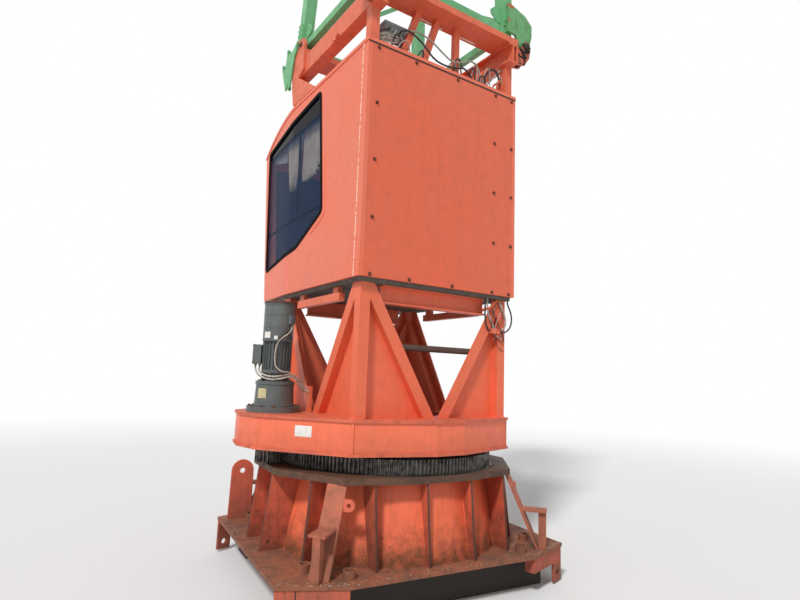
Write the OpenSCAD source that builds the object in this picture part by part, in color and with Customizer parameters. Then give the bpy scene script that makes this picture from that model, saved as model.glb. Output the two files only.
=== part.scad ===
// Slewing unit of a tower crane: the fixed ring support with its toothed ring,
// the turning deck with its slewing drive, the pedestal, the driver's cab, the
// frame over the cab and the lattice tower head. It stands on two beams.
// The slewing axis is the z axis, z = 0 is the ground, the jib side is -y.

/* [Stand and base flange] */
// Turn of the base and its stand under the turning part, seen from above
base_turn = -5; // [-45:1:45]
// Height of the two beams that the unit stands on
beam_h = 318; // [260:1:360]
// Width of each of those beams
beam_w = 320; // [250:5:330]
// Distance of each beam's outer face from the axis
beam_out = 1020; // [1000:5:1025]
// Length of each beam
beam_l = 2360; // [2100:10:2400]
// Half length of the base flange, along the side of the drive
flange_long = 1415; // [1400:5:1440]
// Half width of the base flange
flange_wide = 1270; // [1255:5:1300]
// Distance from the axis at which the long edges turn in to the corners
ear_long = 880; // [850:5:900]
// Distance from the axis at which the short edges turn in to the corners
ear_wide = 1060; // [1045:5:1080]
// Thickness of the base flange
flange_t = 30; // [20:1:45]
// Radius of the opening through the base and the deck
shaft_r = 600; // [450:5:640]

/* [Ring support] */
// Outer radius of the conical drum at its foot
drum_foot_r = 1130; // [1080:5:1150]
// Outer radius of the conical drum at its top
drum_head_r = 990; // [960:5:1010]
// Thickness of the drum's wall
drum_t = 20; // [12:1:30]
// Height of the drum
drum_h = 654; // [500:1:800]
// Distance from the axis to the front and rear edges of the plate under the toothed ring
top_mid = 1110; // [1100:5:1130]
// Half length of the straight middle of those edges
top_flat = 300; // [250:5:340]
// Distance from the axis at which the front and rear edges end, towards the drive
top_corner_x = 840; // [820:5:860]
// Distance from the axis at which they end, towards the front and rear
top_corner_y = 970; // [950:5:990]
// Reach of that plate towards the drive and away from it
top_reach = 1249; // [1240:1:1260]
// Half length of the edges there
top_side = 363; // [330:1:380]
// Thickness of that plate
top_t = 55; // [35:1:80]
// Thickness of the upright ribs
rib_t = 20; // [12:1:30]
// Distance between two ribs of one side
rib_pitch = 450; // [440:5:460]
// Shift of the front and rear ribs along their side, away from the drive
rib_shift = 75; // [60:5:85]
// How far the ribs lean out from their head to their foot
rib_lean = 75; // [50:5:100]
// Width of the sloping flat bar at each corner
bar_w = 170; // [120:5:200]
// Thickness of that bar
bar_t = 25; // [15:1:40]
// Distance of the bar's foot from the axis
bar_foot = 1545; // [1500:5:1550]
// Radius of the pin holes in the corner lugs
pin_r = 28; // [20:1:35]

/* [Slewing ring] */
// Module of the teeth
gear_m = 12; // [11.5:0.1:12.5]
// Teeth of the fixed ring
ring_teeth = 176; // [168:8:184]
// Teeth of the pinion
pinion_teeth = 22; // [20:1:24]
// Height of the toothed ring
ring_h = 130; // [100:1:145]
// Inner radius of the toothed ring
ring_bore_r = 940; // [900:5:960]
// Radial width of the inner race
race_w = 80; // [50:5:120]
// Running clearance of the race in the toothed ring
race_gap = 0.5; // [0.3:0.1:0.8]
// Height of the gap between the toothed ring and the deck
deck_gap = 30; // [15:1:60]

/* [Deck] */
// Half width of the deck at its corners
deck_half = 880; // [860:5:920]
// Half width of the deck at the middle of a side
deck_mid = 1085; // [1075:5:1120]
// Half length of the straight stretch at the middle of a side
deck_flat = 160; // [120:5:240]
// Height of the deck
deck_h = 302; // [240:1:360]
// Thickness of the deck's plates
deck_t = 25; // [15:1:35]
// How far the skirt stands back from the plates' edges
skirt_in = 15; // [10:1:40]
// Thickness of the skirt
skirt_t = 20; // [12:1:30]
// Reach of the drive's bay from the axis
bay_reach = 1516; // [1480:5:1560]
// Half length of the drive's bay
bay_half = 300; // [280:5:340]
// Angle of the drive about the axis
drive_angle = -6.6; // [-8:0.1:-5]

/* [Slewing drive] */
// Radius of the drive's flange
drive_flange_r = 251; // [230:1:260]
// Thickness of the drive's flange
drive_flange_t = 50; // [30:1:70]
// Radius of the gear housing
gearbox_r = 185; // [160:1:200]
// Height of the gear housing
gearbox_h = 233; // [200:1:280]
// Radius of the neck under the motor
neck_r = 112; // [95:1:125]
// Height of the neck
neck_h = 95; // [70:1:120]
// Radius of the motor
motor_r = 137; // [125:1:150]
// Height of the motor's finned part
motor_h = 285; // [240:1:320]
// Height of the brake drum above the motor
brake_h = 336; // [280:1:380]
// Height of the motor's cap
cap_h = 39; // [25:1:60]
// Radius of the pinion's shaft
pinion_shaft_r = 55; // [45:1:65]
// Radial clearance of the pinion's shaft
shaft_gap = 0.3; // [0.2:0.1:0.5]

/* [Pedestal] */
// Half width of the pedestal
ped_half = 850; // [830:5:860]
// Height of the pedestal
ped_h = 1171; // [1000:1:1300]
// Width of a corner post
post_w = 100; // [80:1:120]
// Width of the diagonals' face plates, measured along the deck
diag_w = 122; // [90:1:140]
// Distance from the middle of a side to the foot of a diagonal
diag_foot = 20; // [10:1:60]
// Depth of the recess between post and diagonal
recess = 80; // [60:1:84]
// Thickness of the pedestal's plates
plate_t = 15; // [10:1:20]
// Height of the tube across the rear opening above the deck
tube_z = 631; // [500:1:700]
// Radius of that tube
tube_r = 30; // [20:1:35]

/* [Cab] */
// Half width of the cab
cab_half = 915; // [900:5:940]
// Height of the cab's walls
cab_h = 2150; // [2000:10:2300]
// Distance of the rear wall from the axis
cab_rear = 915; // [900:5:940]
// Distance from the axis to the fold in the side walls
cab_fold = 790; // [700:5:850]
// Distance from the axis to the foot of the front wall
cab_front = 1480; // [1400:5:1550]
// Distance from the axis to the top of the front wall
cab_nose = 1800; // [1720:5:1850]
// Height at which the front wall meets the roof
nose_h = 1880; // [1800:5:1950]
// How far each side wall comes in from the fold to the nose
cab_taper = 70; // [40:5:90]
// Thickness of the walls
wall_t = 40; // [30:1:60]
// Thickness of the floor
floor_t = 37; // [25:1:50]
// Depth of the beams under the floor
joist_h = 165; // [120:1:200]
// Height of the roof's lip
roof_t = 35; // [25:1:50]
// How far the lip stands out over the walls
roof_lip = 8; // [4:1:15]
// Width of the corner posts' faces
trim_w = 92; // [70:1:110]
// Thickness of the glass
glass_t = 10; // [6:1:16]
// Radius of the windows' corners
pane_r = 70; // [40:5:100]

/* [Frame over the cab] */
// Half width of the frame
frame_half = 890; // [870:5:900]
// Height of the gap between the roof and the frame
frame_gap = 348; // [300:1:420]
// Depth of the beams along the cab
frame_h = 210; // [170:1:240]
// Width of the beams' flanges
frame_w = 130; // [100:1:160]
// Thickness of the beams' plates
frame_t = 16; // [10:1:22]
// Width of the box beams across the cab
cross_w = 290; // [240:5:320]
// Depth of the box beams across the cab
cross_h = 65; // [50:1:90]
// Width of the posts between the roof and the frame
stub_w = 90; // [70:1:110]
// Thickness of the fork plates at the jib side
fork_t = 30; // [20:1:40]

/* [Tower head] */
// Height of the head's lattice
head_h = 5900; // [5400:20:5950]
// Half width of the head at its foot, measured to the legs' axes
head_half = 820; // [780:5:825]
// Half width of the head at its top
head_top = 560; // [500:5:620]
// How far the front legs lean back over their height
front_lean = 180; // [120:10:260]
// Depth of the head at its top
head_depth = 1400; // [1300:10:1450]
// Width of a leg
leg_w = 130; // [100:1:140]
// Width of a lacing bar
lace_w = 45; // [35:1:50]
// Number of bays
bays = 6; // [5:1:6]
// Height of the gap between the box beams and the head's foot frame
foot_gap = 95; // [60:1:120]
// Height of the head's foot frame
foot_h = 80; // [60:1:100]

/* [Hidden] */
$fn = 96;

flange_z = beam_h;
drum_z = flange_z + flange_t;
top_z = drum_z + drum_h;
ring_z = top_z + top_t;
deck_z = ring_z + ring_h + deck_gap;
deck_top_z = deck_z + deck_h;
cab_floor_z = deck_top_z + ped_h;
cab_z = cab_floor_z + floor_t;
roof_z = cab_z + cab_h;
frame_z = roof_z + roof_t + frame_gap;
cross_z = frame_z + frame_h;
foot_z = cross_z + cross_h + foot_gap;
head_z = foot_z + foot_h;
centre_d = gear_m * (ring_teeth + pinion_teeth) / 2;
inner_gap = 10;
seat_gap = 0.05;

// Points of a closed outline moved in by d, for an outline that runs anticlockwise
function unit(v) = v / norm(v);
function side_in(a, b, d) = let (u = unit(b - a)) [a + d * [-u[1], u[0]], u];
function meet(l1, l2) =
  let (c = l1[1][0] * l2[1][1] - l1[1][1] * l2[1][0],
       q = l2[0] - l1[0],
       t = (q[0] * l2[1][1] - q[1] * l2[1][0]) / c)
  l1[0] + t * l1[1];
function inset(p, d) =
  let (n = len(p))
  [for (i = [0:n - 1])
    meet(side_in(p[(i + n - 1) % n], p[i], d), side_in(p[i], p[(i + 1) % n], d))];

// Outline with each corner rounded to radius r by n chords
function rounded(p, r, n) =
  let (m = len(p))
  [for (i = [0:m - 1])
    let (b = p[i], u = unit(p[(i + m - 1) % m] - b), v = unit(p[(i + 1) % m] - b),
         half = acos(u * v) / 2, s = r / tan(half), mid = b + unit(u + v) * r / sin(half),
         a1 = atan2((b + u * s - mid)[1], (b + u * s - mid)[0]),
         a2 = atan2((b + v * s - mid)[1], (b + v * s - mid)[0]),
         turn = a2 - a1 > 180 ? a2 - a1 - 360 : (a2 - a1 < -180 ? a2 - a1 + 360 : a2 - a1))
    for (k = [0:n]) mid + r * [cos(a1 + turn * k / n), sin(a1 + turn * k / n)]];

// A straight bar of square section between two points
module bar(a, b, w) {
  d = b - a;
  turn = atan2(d[1], d[0]);
  translate(a) rotate([0, 0, turn]) rotate([0, acos(d[2] / norm(d)), 0]) rotate([0, 0, -turn])
    translate([-w / 2, -w / 2, 0]) cube([w, w, norm(d)]);
}

// Copies at the four corners or sides
module four() {
  for (a = [0:90:270]) rotate([0, 0, a]) children();
}

module mirrored(v) {
  children();
  mirror(v) children();
}

module on_base() {
  rotate([0, 0, base_turn]) children();
}

// Stand: two beams and a cross beam under the base

stand_cross_w = 300;

module stand_beams() {
  color("dimgray") on_base() for (s = [0, 1]) mirror([0, s, 0])
    translate([-beam_l / 2, beam_out - beam_w, 0]) cube([beam_l, beam_w, beam_h]);
}

module stand_cross() {
  inner = beam_out - beam_w;
  color("dimgray") on_base() translate([-stand_cross_w / 2, -inner, 0])
    cube([stand_cross_w, 2 * inner, beam_h]);
}

// Base

module base_flange() {
  color("sienna") on_base() translate([0, 0, flange_z]) difference() {
    linear_extrude(flange_t) polygon([[flange_long, ear_wide], [ear_long, flange_wide],
      [-ear_long, flange_wide], [-flange_long, ear_wide], [-flange_long, -ear_wide],
      [-ear_long, -flange_wide], [ear_long, -flange_wide], [flange_long, -ear_wide]]);
    translate([0, 0, -1]) cylinder(r = shaft_r, h = flange_t + 2);
  }
}

foot_in = 12;
foot_wall = 20;
foot_deep = 95;
foot_low = 190;
lug_t = 25;
lug_w = 150;
lug_low = 20;
ear_angle = atan2(flange_wide - ear_wide, flange_long - ear_long);
ear_l = norm([flange_wide - ear_wide, flange_long - ear_long]);

// Places things at a corner: x runs along the oblique edge to its outer end, y outwards
module at_ear() {
  mirrored([0, 1, 0]) mirrored([1, 0, 0])
    translate([ear_long, flange_wide, 0]) rotate([0, 0, -ear_angle]) children();
}

module corner_feet() {
  run = ear_l - lug_w - 30;
  color("tomato") on_base() at_ear() {
    translate([20, -foot_in - foot_deep, foot_low]) difference() {
      cube([run, foot_deep, flange_z - foot_low]);
      translate([foot_wall, -1, -1])
        cube([run - 2 * foot_wall, foot_deep - foot_wall + 1, flange_z - foot_low - foot_wall + 1]);
    }
    translate([ear_l - lug_w, -foot_in - lug_t, 0]) difference() {
      translate([0, 0, lug_low]) cube([lug_w, lug_t, flange_z - lug_low]);
      translate([lug_w / 2, -1, lug_low + lug_w / 2]) rotate([-90, 0, 0])
        cylinder(r = pin_r, h = lug_t + 2);
    }
  }
}

function drum_r(z) = drum_foot_r + (drum_head_r - drum_foot_r) * z / drum_h;

module drum() {
  low = seat_gap;
  high = drum_h - seat_gap;
  color("tomato") translate([0, 0, drum_z]) rotate_extrude()
    polygon([[drum_r(low) - drum_t, low], [drum_r(low), low],
      [drum_r(high), high], [drum_r(high) - drum_t, high]]);
}

// A rib from the drum out to head at the plate above, seen from the side, in the xz plane
module rib(head) {
  foot = head + rib_lean;
  translate([0, rib_t / 2, drum_z]) rotate([90, 0, 0])
    linear_extrude(rib_t)
      polygon([[drum_head_r / 2, 0], [foot, 0], [head, drum_h], [drum_head_r / 2, drum_h]]);
}

// Edge of the plate under the ring at distance x from the middle of the front or rear side
function edge_at(x) =
  top_mid - max(0, abs(x) - top_flat) * (top_mid - top_corner_y) / (top_corner_x - top_flat);

oblique_x = (top_reach + top_corner_x) / 2;
oblique_y = (top_side + top_corner_y) / 2;
rib_in = 14;

module drum_ribs() {
  over = 20;
  color("tomato") on_base() difference() {
    union() {
      for (turn = [0, 180], i = [-1.5:1:1.5])
        rotate([0, 0, turn]) translate([i * rib_pitch - rib_shift, 0, 0])
          rotate([0, 0, 90]) rib(edge_at(i * rib_pitch - rib_shift) - rib_in);
      for (turn = [0, 180], i = [-0.5:1:0.5])
        rotate([0, 0, turn]) translate([0, i * rib_pitch, 0]) rib(top_reach - rib_in);
      mirrored([1, 0, 0]) mirrored([0, 1, 0]) rotate([0, 0, atan2(oblique_y, oblique_x)])
        rib(norm([oblique_x, oblique_y]) - 2 * rib_in);
    }
    translate([0, 0, drum_z - over])
      cylinder(r1 = drum_r(-over) + seat_gap, r2 = drum_r(drum_h + over) + seat_gap, h = drum_h + 2 * over);
  }
}

bar_head = sqrt(2) * (top_reach * top_corner_y - top_side * top_corner_x)
  / (top_reach - top_corner_x + top_corner_y - top_side) - 5;
guide_w = 65;
guide_h = 327;
guide_cap = 20;

// Sloping flat bar with the guide post and its cap plate before its foot
module corner_bar() {
  slope = (bar_foot - bar_head) / drum_h;
  face = bar_foot - slope * guide_h;
  translate([0, -bar_w / 2, drum_z]) rotate([90, 0, 0]) mirror([0, 0, 1]) linear_extrude(bar_w)
    polygon([[bar_foot - bar_t, 0], [bar_foot, 0], [bar_head, drum_h], [bar_head - bar_t, drum_h]]);
  translate([bar_foot - 5, -guide_w / 2, drum_z]) cube([guide_w + 5, guide_w, guide_h]);
  translate([face - 10, -bar_w / 2 + 15, drum_z + guide_h])
    cube([bar_foot + guide_w + 15 - face, bar_w - 30, guide_cap]);
}

module corner_bars() {
  color("tomato") on_base() four() rotate([0, 0, 45]) corner_bar();
}

small_lug_r = 48;
small_lug_z = 510;
big_lug_r = 115;
big_lug_x = 1214;
big_lug_y = 930;
big_lug_z = 484;

// Ear with a hole at the edge of each corner bar and a tall lug plate at the two front corners
module base_lugs() {
  slope = (bar_foot - bar_head) / drum_h;
  color("tomato") on_base() {
    four() rotate([0, 0, 45])
      translate([bar_foot - slope * small_lug_z - bar_t - 2, bar_w / 2, drum_z + small_lug_z])
      rotate([90, 0, 90]) linear_extrude(lug_t) difference() {
        union() {
          translate([0, -small_lug_r]) square([small_lug_r, 2 * small_lug_r]);
          translate([small_lug_r, 0]) circle(r = small_lug_r);
        }
        translate([small_lug_r, 0]) circle(r = 18);
      }
    mirrored([1, 0, 0]) translate([big_lug_x, -big_lug_y, drum_z]) rotate([90, 0, 0]) {
      linear_extrude(lug_t) difference() {
        union() {
          translate([0, big_lug_z]) circle(r = big_lug_r);
          polygon([[-big_lug_r, 0], [big_lug_r + 10, 0], [big_lug_r, big_lug_z], [-big_lug_r, big_lug_z]]);
        }
        translate([0, big_lug_z]) circle(r = pin_r);
      }
      translate([0, big_lug_z, lug_t]) linear_extrude(8) difference() {
        circle(r = 70);
        circle(r = pin_r);
      }
    }
  }
}

bay_y = centre_d * sin(drive_angle);

module base_top() {
  quarter = [[top_reach, top_side], [top_corner_x, top_corner_y], [top_flat, top_mid]];
  color("sienna") on_base() translate([0, 0, top_z]) difference() {
    linear_extrude(top_t) polygon(concat(
      [for (i = [0:2]) quarter[i]],
      [for (i = [2:-1:0]) [-quarter[i][0], quarter[i][1]]],
      [for (i = [0:2]) -quarter[i]],
      [for (i = [2:-1:0]) [quarter[i][0], -quarter[i][1]]]));
    translate([0, 0, -1]) cylinder(r = shaft_r, h = top_t + 2);
  }
}

socket_r = 52;
socket_h = 62;
socket_at = 1390;
socket_off = 190;

module flange_sockets() {
  color("sienna") on_base() four() rotate([0, 0, 45]) mirrored([0, 1, 0])
    translate([socket_at, socket_off, drum_z]) difference() {
      cylinder(r = socket_r, h = socket_h);
      translate([0, 0, -1]) cylinder(r = socket_r - 14, h = socket_h + 2);
    }
}

// Slewing ring: straight-flanked teeth with play

tooth_up = 0.8 * gear_m;
tooth_down = 1.15 * gear_m;
tooth_half = 0.62 * gear_m;
flank = tan(20);

function gear_points(n) =
  let (r = gear_m * n / 2)
  [for (i = [0:n - 1])
    let (a = 360 * i / n, c = cos(a), s = sin(a))
    for (q = [[r - tooth_down, -tooth_half - tooth_down * flank],
              [r + tooth_up, -tooth_half + tooth_up * flank],
              [r + tooth_up, tooth_half - tooth_up * flank],
              [r - tooth_down, tooth_half + tooth_down * flank]])
      [q[0] * c - q[1] * s, q[0] * s + q[1] * c]];

module toothed_ring() {
  color("darkslategray")
    translate([0, 0, ring_z + seat_gap]) difference() {
      rotate([0, 0, drive_angle + 180 / ring_teeth]) linear_extrude(ring_h)
        polygon(gear_points(ring_teeth));
      translate([0, 0, -1]) cylinder(r = ring_bore_r, h = ring_h + 2);
    }
}

module inner_race() {
  color("dimgray")
    translate([0, 0, ring_z + inner_gap]) difference() {
      cylinder(r = ring_bore_r - race_gap, h = deck_z - ring_z - inner_gap);
      translate([0, 0, -1]) cylinder(r = ring_bore_r - race_w, h = deck_z - ring_z - inner_gap + 2);
    }
}

pinion_h = ring_h - 15;
snout_r = 130;
snout_low = 12;

module at_drive() {
  rotate([0, 0, drive_angle]) translate([centre_d, 0, 0]) children();
}

module pinion() {
  color("darkslategray")
    at_drive() {
      translate([0, 0, ring_z + inner_gap]) rotate([0, 0, 180])
        linear_extrude(pinion_h) polygon(gear_points(pinion_teeth));
      translate([0, 0, ring_z + inner_gap]) cylinder(r = pinion_shaft_r, h = pinion_h + 150);
    }
}

// Deck

function deck_outline() =
  let (h = deck_half, m = deck_mid, f = deck_flat)
  [[h, h], [f, m], [-f, m], [-h, h], [-m, f], [-m, -f], [-h, -h], [-f, -m], [f, -m], [h, -h],
   [bay_reach - 63, bay_y - bay_half], [bay_reach, bay_y], [bay_reach - 63, bay_y + bay_half]];

module deck_plate(z) {
  translate([0, 0, z]) difference() {
    linear_extrude(deck_t) polygon(deck_outline());
    translate([0, 0, -1]) cylinder(r = shaft_r, h = deck_t + 2);
    at_drive() translate([0, 0, -1]) cylinder(r = snout_r, h = deck_t + 2);
  }
}

module deck_bottom() {
  color("tomato") deck_plate(deck_z);
}

module deck_top() {
  color("tomato") deck_plate(deck_top_z - deck_t);
}

module deck_skirt() {
  wall_h = deck_h - 2 * deck_t;
  outer = inset(deck_outline(), skirt_in);
  inner = inset(deck_outline(), skirt_in + skirt_t);
  color("tomato") translate([0, 0, deck_z + deck_t]) {
    linear_extrude(wall_h) difference() {
      polygon(outer);
      polygon(inner);
    }
    translate([deck_half, deck_half, 0]) rotate([0, 0, 45])
      translate([-50, -6, 0]) cube([44, 12, wall_h]);
  }
}

module deck_core() {
  color("tomato") translate([0, 0, deck_z + deck_t]) difference() {
    cylinder(r = shaft_r + 60, h = deck_h - 2 * deck_t);
    translate([0, 0, -1]) cylinder(r = shaft_r + 40, h = deck_h - 2 * deck_t + 2);
  }
}

// Pedestal

module pedestal_posts() {
  color("tomato") four() translate([ped_half - post_w, ped_half - post_w, deck_top_z])
    cube([post_w, post_w, ped_h]);
}

ped_in = ped_half - post_w;
diag_top = ped_in - 40;

// One half of a side: recessed web, diagonal face plate and the plate between them
module half_side() {
  lean = (diag_top - diag_foot) / ped_h;
  foot_out = diag_foot + diag_w;
  meet_h = (ped_in - foot_out) / lean;
  translate([0, ped_half - recess - plate_t, deck_top_z]) rotate([90, 0, 0]) mirror([0, 0, 1])
    linear_extrude(plate_t) polygon([[foot_out, 0], [ped_in, 0], [ped_in, meet_h]]);
  translate([0, ped_half - plate_t, deck_top_z]) rotate([90, 0, 0]) mirror([0, 0, 1])
    linear_extrude(plate_t)
      polygon([[diag_foot, 0], [foot_out, 0], [ped_in, meet_h], [ped_in, ped_h], [diag_top, ped_h]]);
  translate([0, ped_half - recess - plate_t, deck_top_z]) rotate([90, 0, 0]) mirror([0, 0, 1])
    linear_extrude(recess + plate_t)
      polygon([[foot_out - plate_t, 0], [foot_out, 0], [ped_in, meet_h], [ped_in, meet_h + plate_t / lean]]);
}

module side_frame() {
  for (m = [0, 1]) mirror([m, 0, 0]) half_side();
}

module pedestal_rear() {
  color("tomato") side_frame();
}

module rear_tube() {
  lean = (diag_top - diag_foot) / ped_h;
  color("dimgray") translate([0, ped_half - plate_t - tube_r, deck_top_z + tube_z]) rotate([0, 90, 0])
    cylinder(r = tube_r, h = 2 * (diag_foot + lean * tube_z) + 100, center = true);
}

module pedestal_left() {
  color("tomato") rotate([0, 0, -90]) side_frame();
}

module pedestal_front() {
  color("tomato") rotate([0, 0, 180]) side_frame();
}

module pedestal_right() {
  color("tomato") rotate([0, 0, 90]) side_frame();
}

// Cab

joist_w = 100;
joist_t = 14;
joist_reach = ped_half - plate_t - 15;
joist_l = 1220;
bearer_w = 60;
bearer_h = 75;
bearer_z = 130;
bearer_front = 490;
bearer_rear = 450;
packer_l = 100;
packer_in = 8;

// I-beam along x, of length l, its underside at z = 0
module i_beam(l, w, h, t) {
  translate([-l / 2, -w / 2, 0]) cube([l, w, t]);
  translate([-l / 2, -t / 2, 0]) cube([l, t, h]);
  translate([-l / 2, -w / 2, h - t]) cube([l, w, t]);
}

// Two I-beams across the pedestal and a flat bearer on two packers under each side of the cab
module floor_joists() {
  color("tomato") translate([0, 0, cab_floor_z]) {
    for (a = [0, 180]) rotate([0, 0, a])
      translate([0, joist_reach - joist_w / 2, -joist_h]) i_beam(joist_l, joist_w, joist_h, joist_t);
    mirrored([1, 0, 0]) {
      translate([ped_half - bearer_w, -bearer_front, -bearer_z])
        cube([bearer_w, bearer_front + bearer_rear, bearer_h]);
      for (y = [40 - bearer_front, bearer_rear - packer_l - 40])
        translate([ped_half - bearer_w + packer_in, y, bearer_h - bearer_z])
          cube([bearer_w - 2 * packer_in, packer_l, bearer_z - bearer_h]);
    }
  }
}

// Plan of the cab at distance d inside its outer faces
function cab_plan() =
  let (slope = cab_taper / (cab_nose - cab_fold), nose = cab_nose + 200,
       x_nose = cab_half - slope * (nose - cab_fold))
  [[cab_half, -cab_fold], [cab_half, cab_rear], [-cab_half, cab_rear], [-cab_half, -cab_fold],
   [-x_nose, -nose], [x_nose, -nose]];

arc_drop = cab_h - nose_h;
arc_run = cab_nose - cab_fold + 30;
arc_r = (arc_run * arc_run + arc_drop * arc_drop) / (2 * arc_drop);
arc_end = asin(arc_run / arc_r);
arc_steps = 8;

// Crown of the side view, from the rear to the nose, raised by d
function crown(d) =
  concat([[cab_rear, cab_h + d]],
    [for (k = [0:arc_steps]) let (a = arc_end * k / arc_steps)
      [30 - cab_fold - (arc_r + d) * sin(a), cab_h - arc_r + (arc_r + d) * cos(a)]]);

function front_at(z) = -cab_front - (cab_nose - cab_front) * z / nose_h;

// Side view of the cab, taken in by d at the front, extruded across the cab
module side_view(points) {
  translate([-cab_half - 100, 0, cab_z]) rotate([90, 0, 90])
    linear_extrude(2 * cab_half + 200) polygon(points);
}

module in_plan(d, z0, z1) {
  intersection() {
    children();
    translate([0, 0, z0]) linear_extrude(z1 - z0) polygon(inset(cab_plan(), d));
  }
}

function body_view(d) = concat([[cab_rear, 0]], crown(0), [[front_at(0) + d, 0]]);

module cab_floor() {
  color("gray")
    translate([0, 0, cab_floor_z]) linear_extrude(floor_t)
      polygon([[cab_half - 30, cab_rear - 30], [30 - cab_half, cab_rear - 30],
        [30 - cab_half, -cab_fold], [60 + cab_taper - cab_half, 30 - cab_front],
        [cab_half - 60 - cab_taper, 30 - cab_front], [cab_half - 30, -cab_fold]]);
}

module cab_posts() {
  color("lightsalmon")
    for (s = [-1, 1]) translate([s * (cab_half - wall_t / 2) - wall_t / 2, cab_rear - trim_w, cab_z])
      cube([wall_t, trim_w, cab_h]);
}

module rear_wall() {
  color("indianred")
    translate([wall_t - cab_half, cab_rear - wall_t, cab_z]) cube([2 * (cab_half - wall_t), wall_t, cab_h]);
}

// Side window, seen from the left with y to the right, cut between x0 and x1
module pane_block(d, x0, x1) {
  translate([x0, 0, cab_z]) rotate([90, 0, 90]) linear_extrude(x1 - x0)
    polygon(rounded(side_pane(d), pane_r, 5));
}

pane_front = 50;
pane_low = 332;
pane_mid = 130;
pane_step = 403;
pane_drop = 65;
pane_foot_y = 134;
pane_head_y = -43;
pane_fall = 0.097;
function pane_head(y) = cab_h - pane_drop - pane_fall * (pane_head_y - y);
pane_nose = -cab_nose + 130;
function side_pane(d) =
  inset([[front_at(pane_low) + pane_front, pane_low], [318 - cab_fold, pane_low + pane_mid],
    [pane_foot_y, pane_low + pane_step], [pane_head_y, pane_head(pane_head_y)],
    [pane_nose, min(pane_head(pane_nose), nose_h + 40)]], d);

module side_wall() {
  difference() {
    intersection() {
      side_view(body_view(0));
      translate([0, 0, cab_z]) linear_extrude(cab_h + 100) difference() {
        polygon(cab_plan());
        polygon(inset(cab_plan(), wall_t));
      }
      translate([0, -2 * cab_nose, cab_z])
        cube([cab_half + 1, 2 * cab_nose + cab_rear - trim_w, cab_h + 1]);
    }
    pane_block(0, cab_half - cab_taper - wall_t - 150, cab_half + 50);
  }
}

module left_wall() {
  color("salmon") difference() {
    side_wall();
    translate([-1, -3 * cab_nose, cab_z - 1])
      cube([cab_half - cab_taper - wall_t - 60, 4 * cab_nose, cab_h + 2]);
  }
}

module right_wall() {
  color("salmon") mirror([1, 0, 0]) difference() {
    side_wall();
    translate([-1, -3 * cab_nose, cab_z - 1])
      cube([cab_half - cab_taper - wall_t - 60, 4 * cab_nose, cab_h + 2]);
  }
}

function front_strip(d0, d1, z0, z1) =
  [[front_at(z0) + d0, z0], [front_at(z0) + d1, z0], [front_at(z1) + d1, z1], [front_at(z1) + d0, z1]];

screen_low = 330;
screen_high = nose_h - 110;
screen_half = cab_half - cab_taper - wall_t - 70;

module front_wall() {
  color("tomato") difference() {
    in_plan(wall_t, cab_z, roof_z) side_view(front_strip(0, wall_t, 0, nose_h - 4));
    translate([-screen_half, -2 * cab_nose, cab_z + screen_low])
      cube([2 * screen_half, 2 * cab_nose - 100, screen_high - screen_low]);
  }
}

module windscreen() {
  color("lightslategray")
    intersection() {
      side_view(front_strip(10, 10 + glass_t, screen_low, screen_high));
      translate([-screen_half, -2 * cab_nose, cab_z]) cube([2 * screen_half, 2 * cab_nose, cab_h]);
    }
}

module side_window() {
  intersection() {
    pane_block(0, cab_half - cab_taper - wall_t - 150, cab_half + 50);
    translate([0, 0, cab_z]) linear_extrude(cab_h) difference() {
      polygon(inset(cab_plan(), 12));
      polygon(inset(cab_plan(), 12 + glass_t));
    }
  }
}

module side_windows() {
  color("lightslategray") mirrored([1, 0, 0]) side_window();
}

mullion_w = 32;
rail_z = 816;
head_rail_z = 1822;
mullion_foot = -554 - mullion_w / 2;
mullion_head = mullion_foot - 70;

// Two rails across each side window and the leaning bar above the lower one, inside the glass
module window_bars() {
  color("black") mirrored([1, 0, 0]) intersection() {
    pane_block(0, cab_half - cab_taper - wall_t - 150, cab_half + 50);
    translate([0, 0, cab_z]) linear_extrude(cab_h) difference() {
      polygon(inset(cab_plan(), 12 + glass_t));
      polygon(inset(cab_plan(), 30 + glass_t));
    }
    translate([0, 0, cab_z]) rotate([90, 0, 90]) linear_extrude(2 * cab_half) union() {
      for (z = [rail_z, head_rail_z])
        translate([-2 * cab_nose, z - mullion_w / 2]) square([3 * cab_nose, mullion_w]);
      polygon([[mullion_foot, rail_z], [mullion_foot + mullion_w, rail_z],
        [mullion_head + mullion_w, cab_h], [mullion_head, cab_h]]);
    }
  }
}

module roof() {
  color("salmon") intersection() {
    side_view(concat(crown(roof_t), [for (k = [arc_steps + 1:-1:0]) crown(0)[k]]));
    translate([0, 0, cab_z]) linear_extrude(cab_h + 200) polygon(inset(cab_plan(), -roof_lip));
  }
}

seat_y = -650;
seat_w = 500;
seat_low = 380;
seat_t = 110;
back_h = 650;
back_t = 90;
back_lean = 12;

module seat() {
  color("dimgray") translate([0, seat_y, cab_z]) {
    cylinder(r = 60, h = seat_low);
    translate([-seat_w / 2, -10 - seat_w / 2, seat_low]) cube([seat_w, seat_w, seat_t]);
    translate([20 - seat_w / 2, seat_w / 2 - 80, seat_low + seat_t]) rotate([-back_lean, 0, 0])
      cube([seat_w - 40, back_t, back_h]);
  }
}

console_w = 180;
console_l = 520;
console_h = 620;
console_gap = 60;

// Control stands on both sides of the seat
module console() {
  color("silver") mirrored([1, 0, 0]) translate([seat_w / 2 + console_gap, seat_y - console_l / 2, cab_z])
    cube([console_w, console_l, console_h]);
}

// Frame over the cab

stub_at = frame_half - stub_w / 2 - 5;

module frame_posts() {
  color("tomato") for (x = [-1, 1])
    translate([x * stub_at - stub_w / 2, stub_at - stub_w / 2, roof_z + roof_t])
      cube([stub_w, stub_w, frame_gap]);
}

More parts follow.
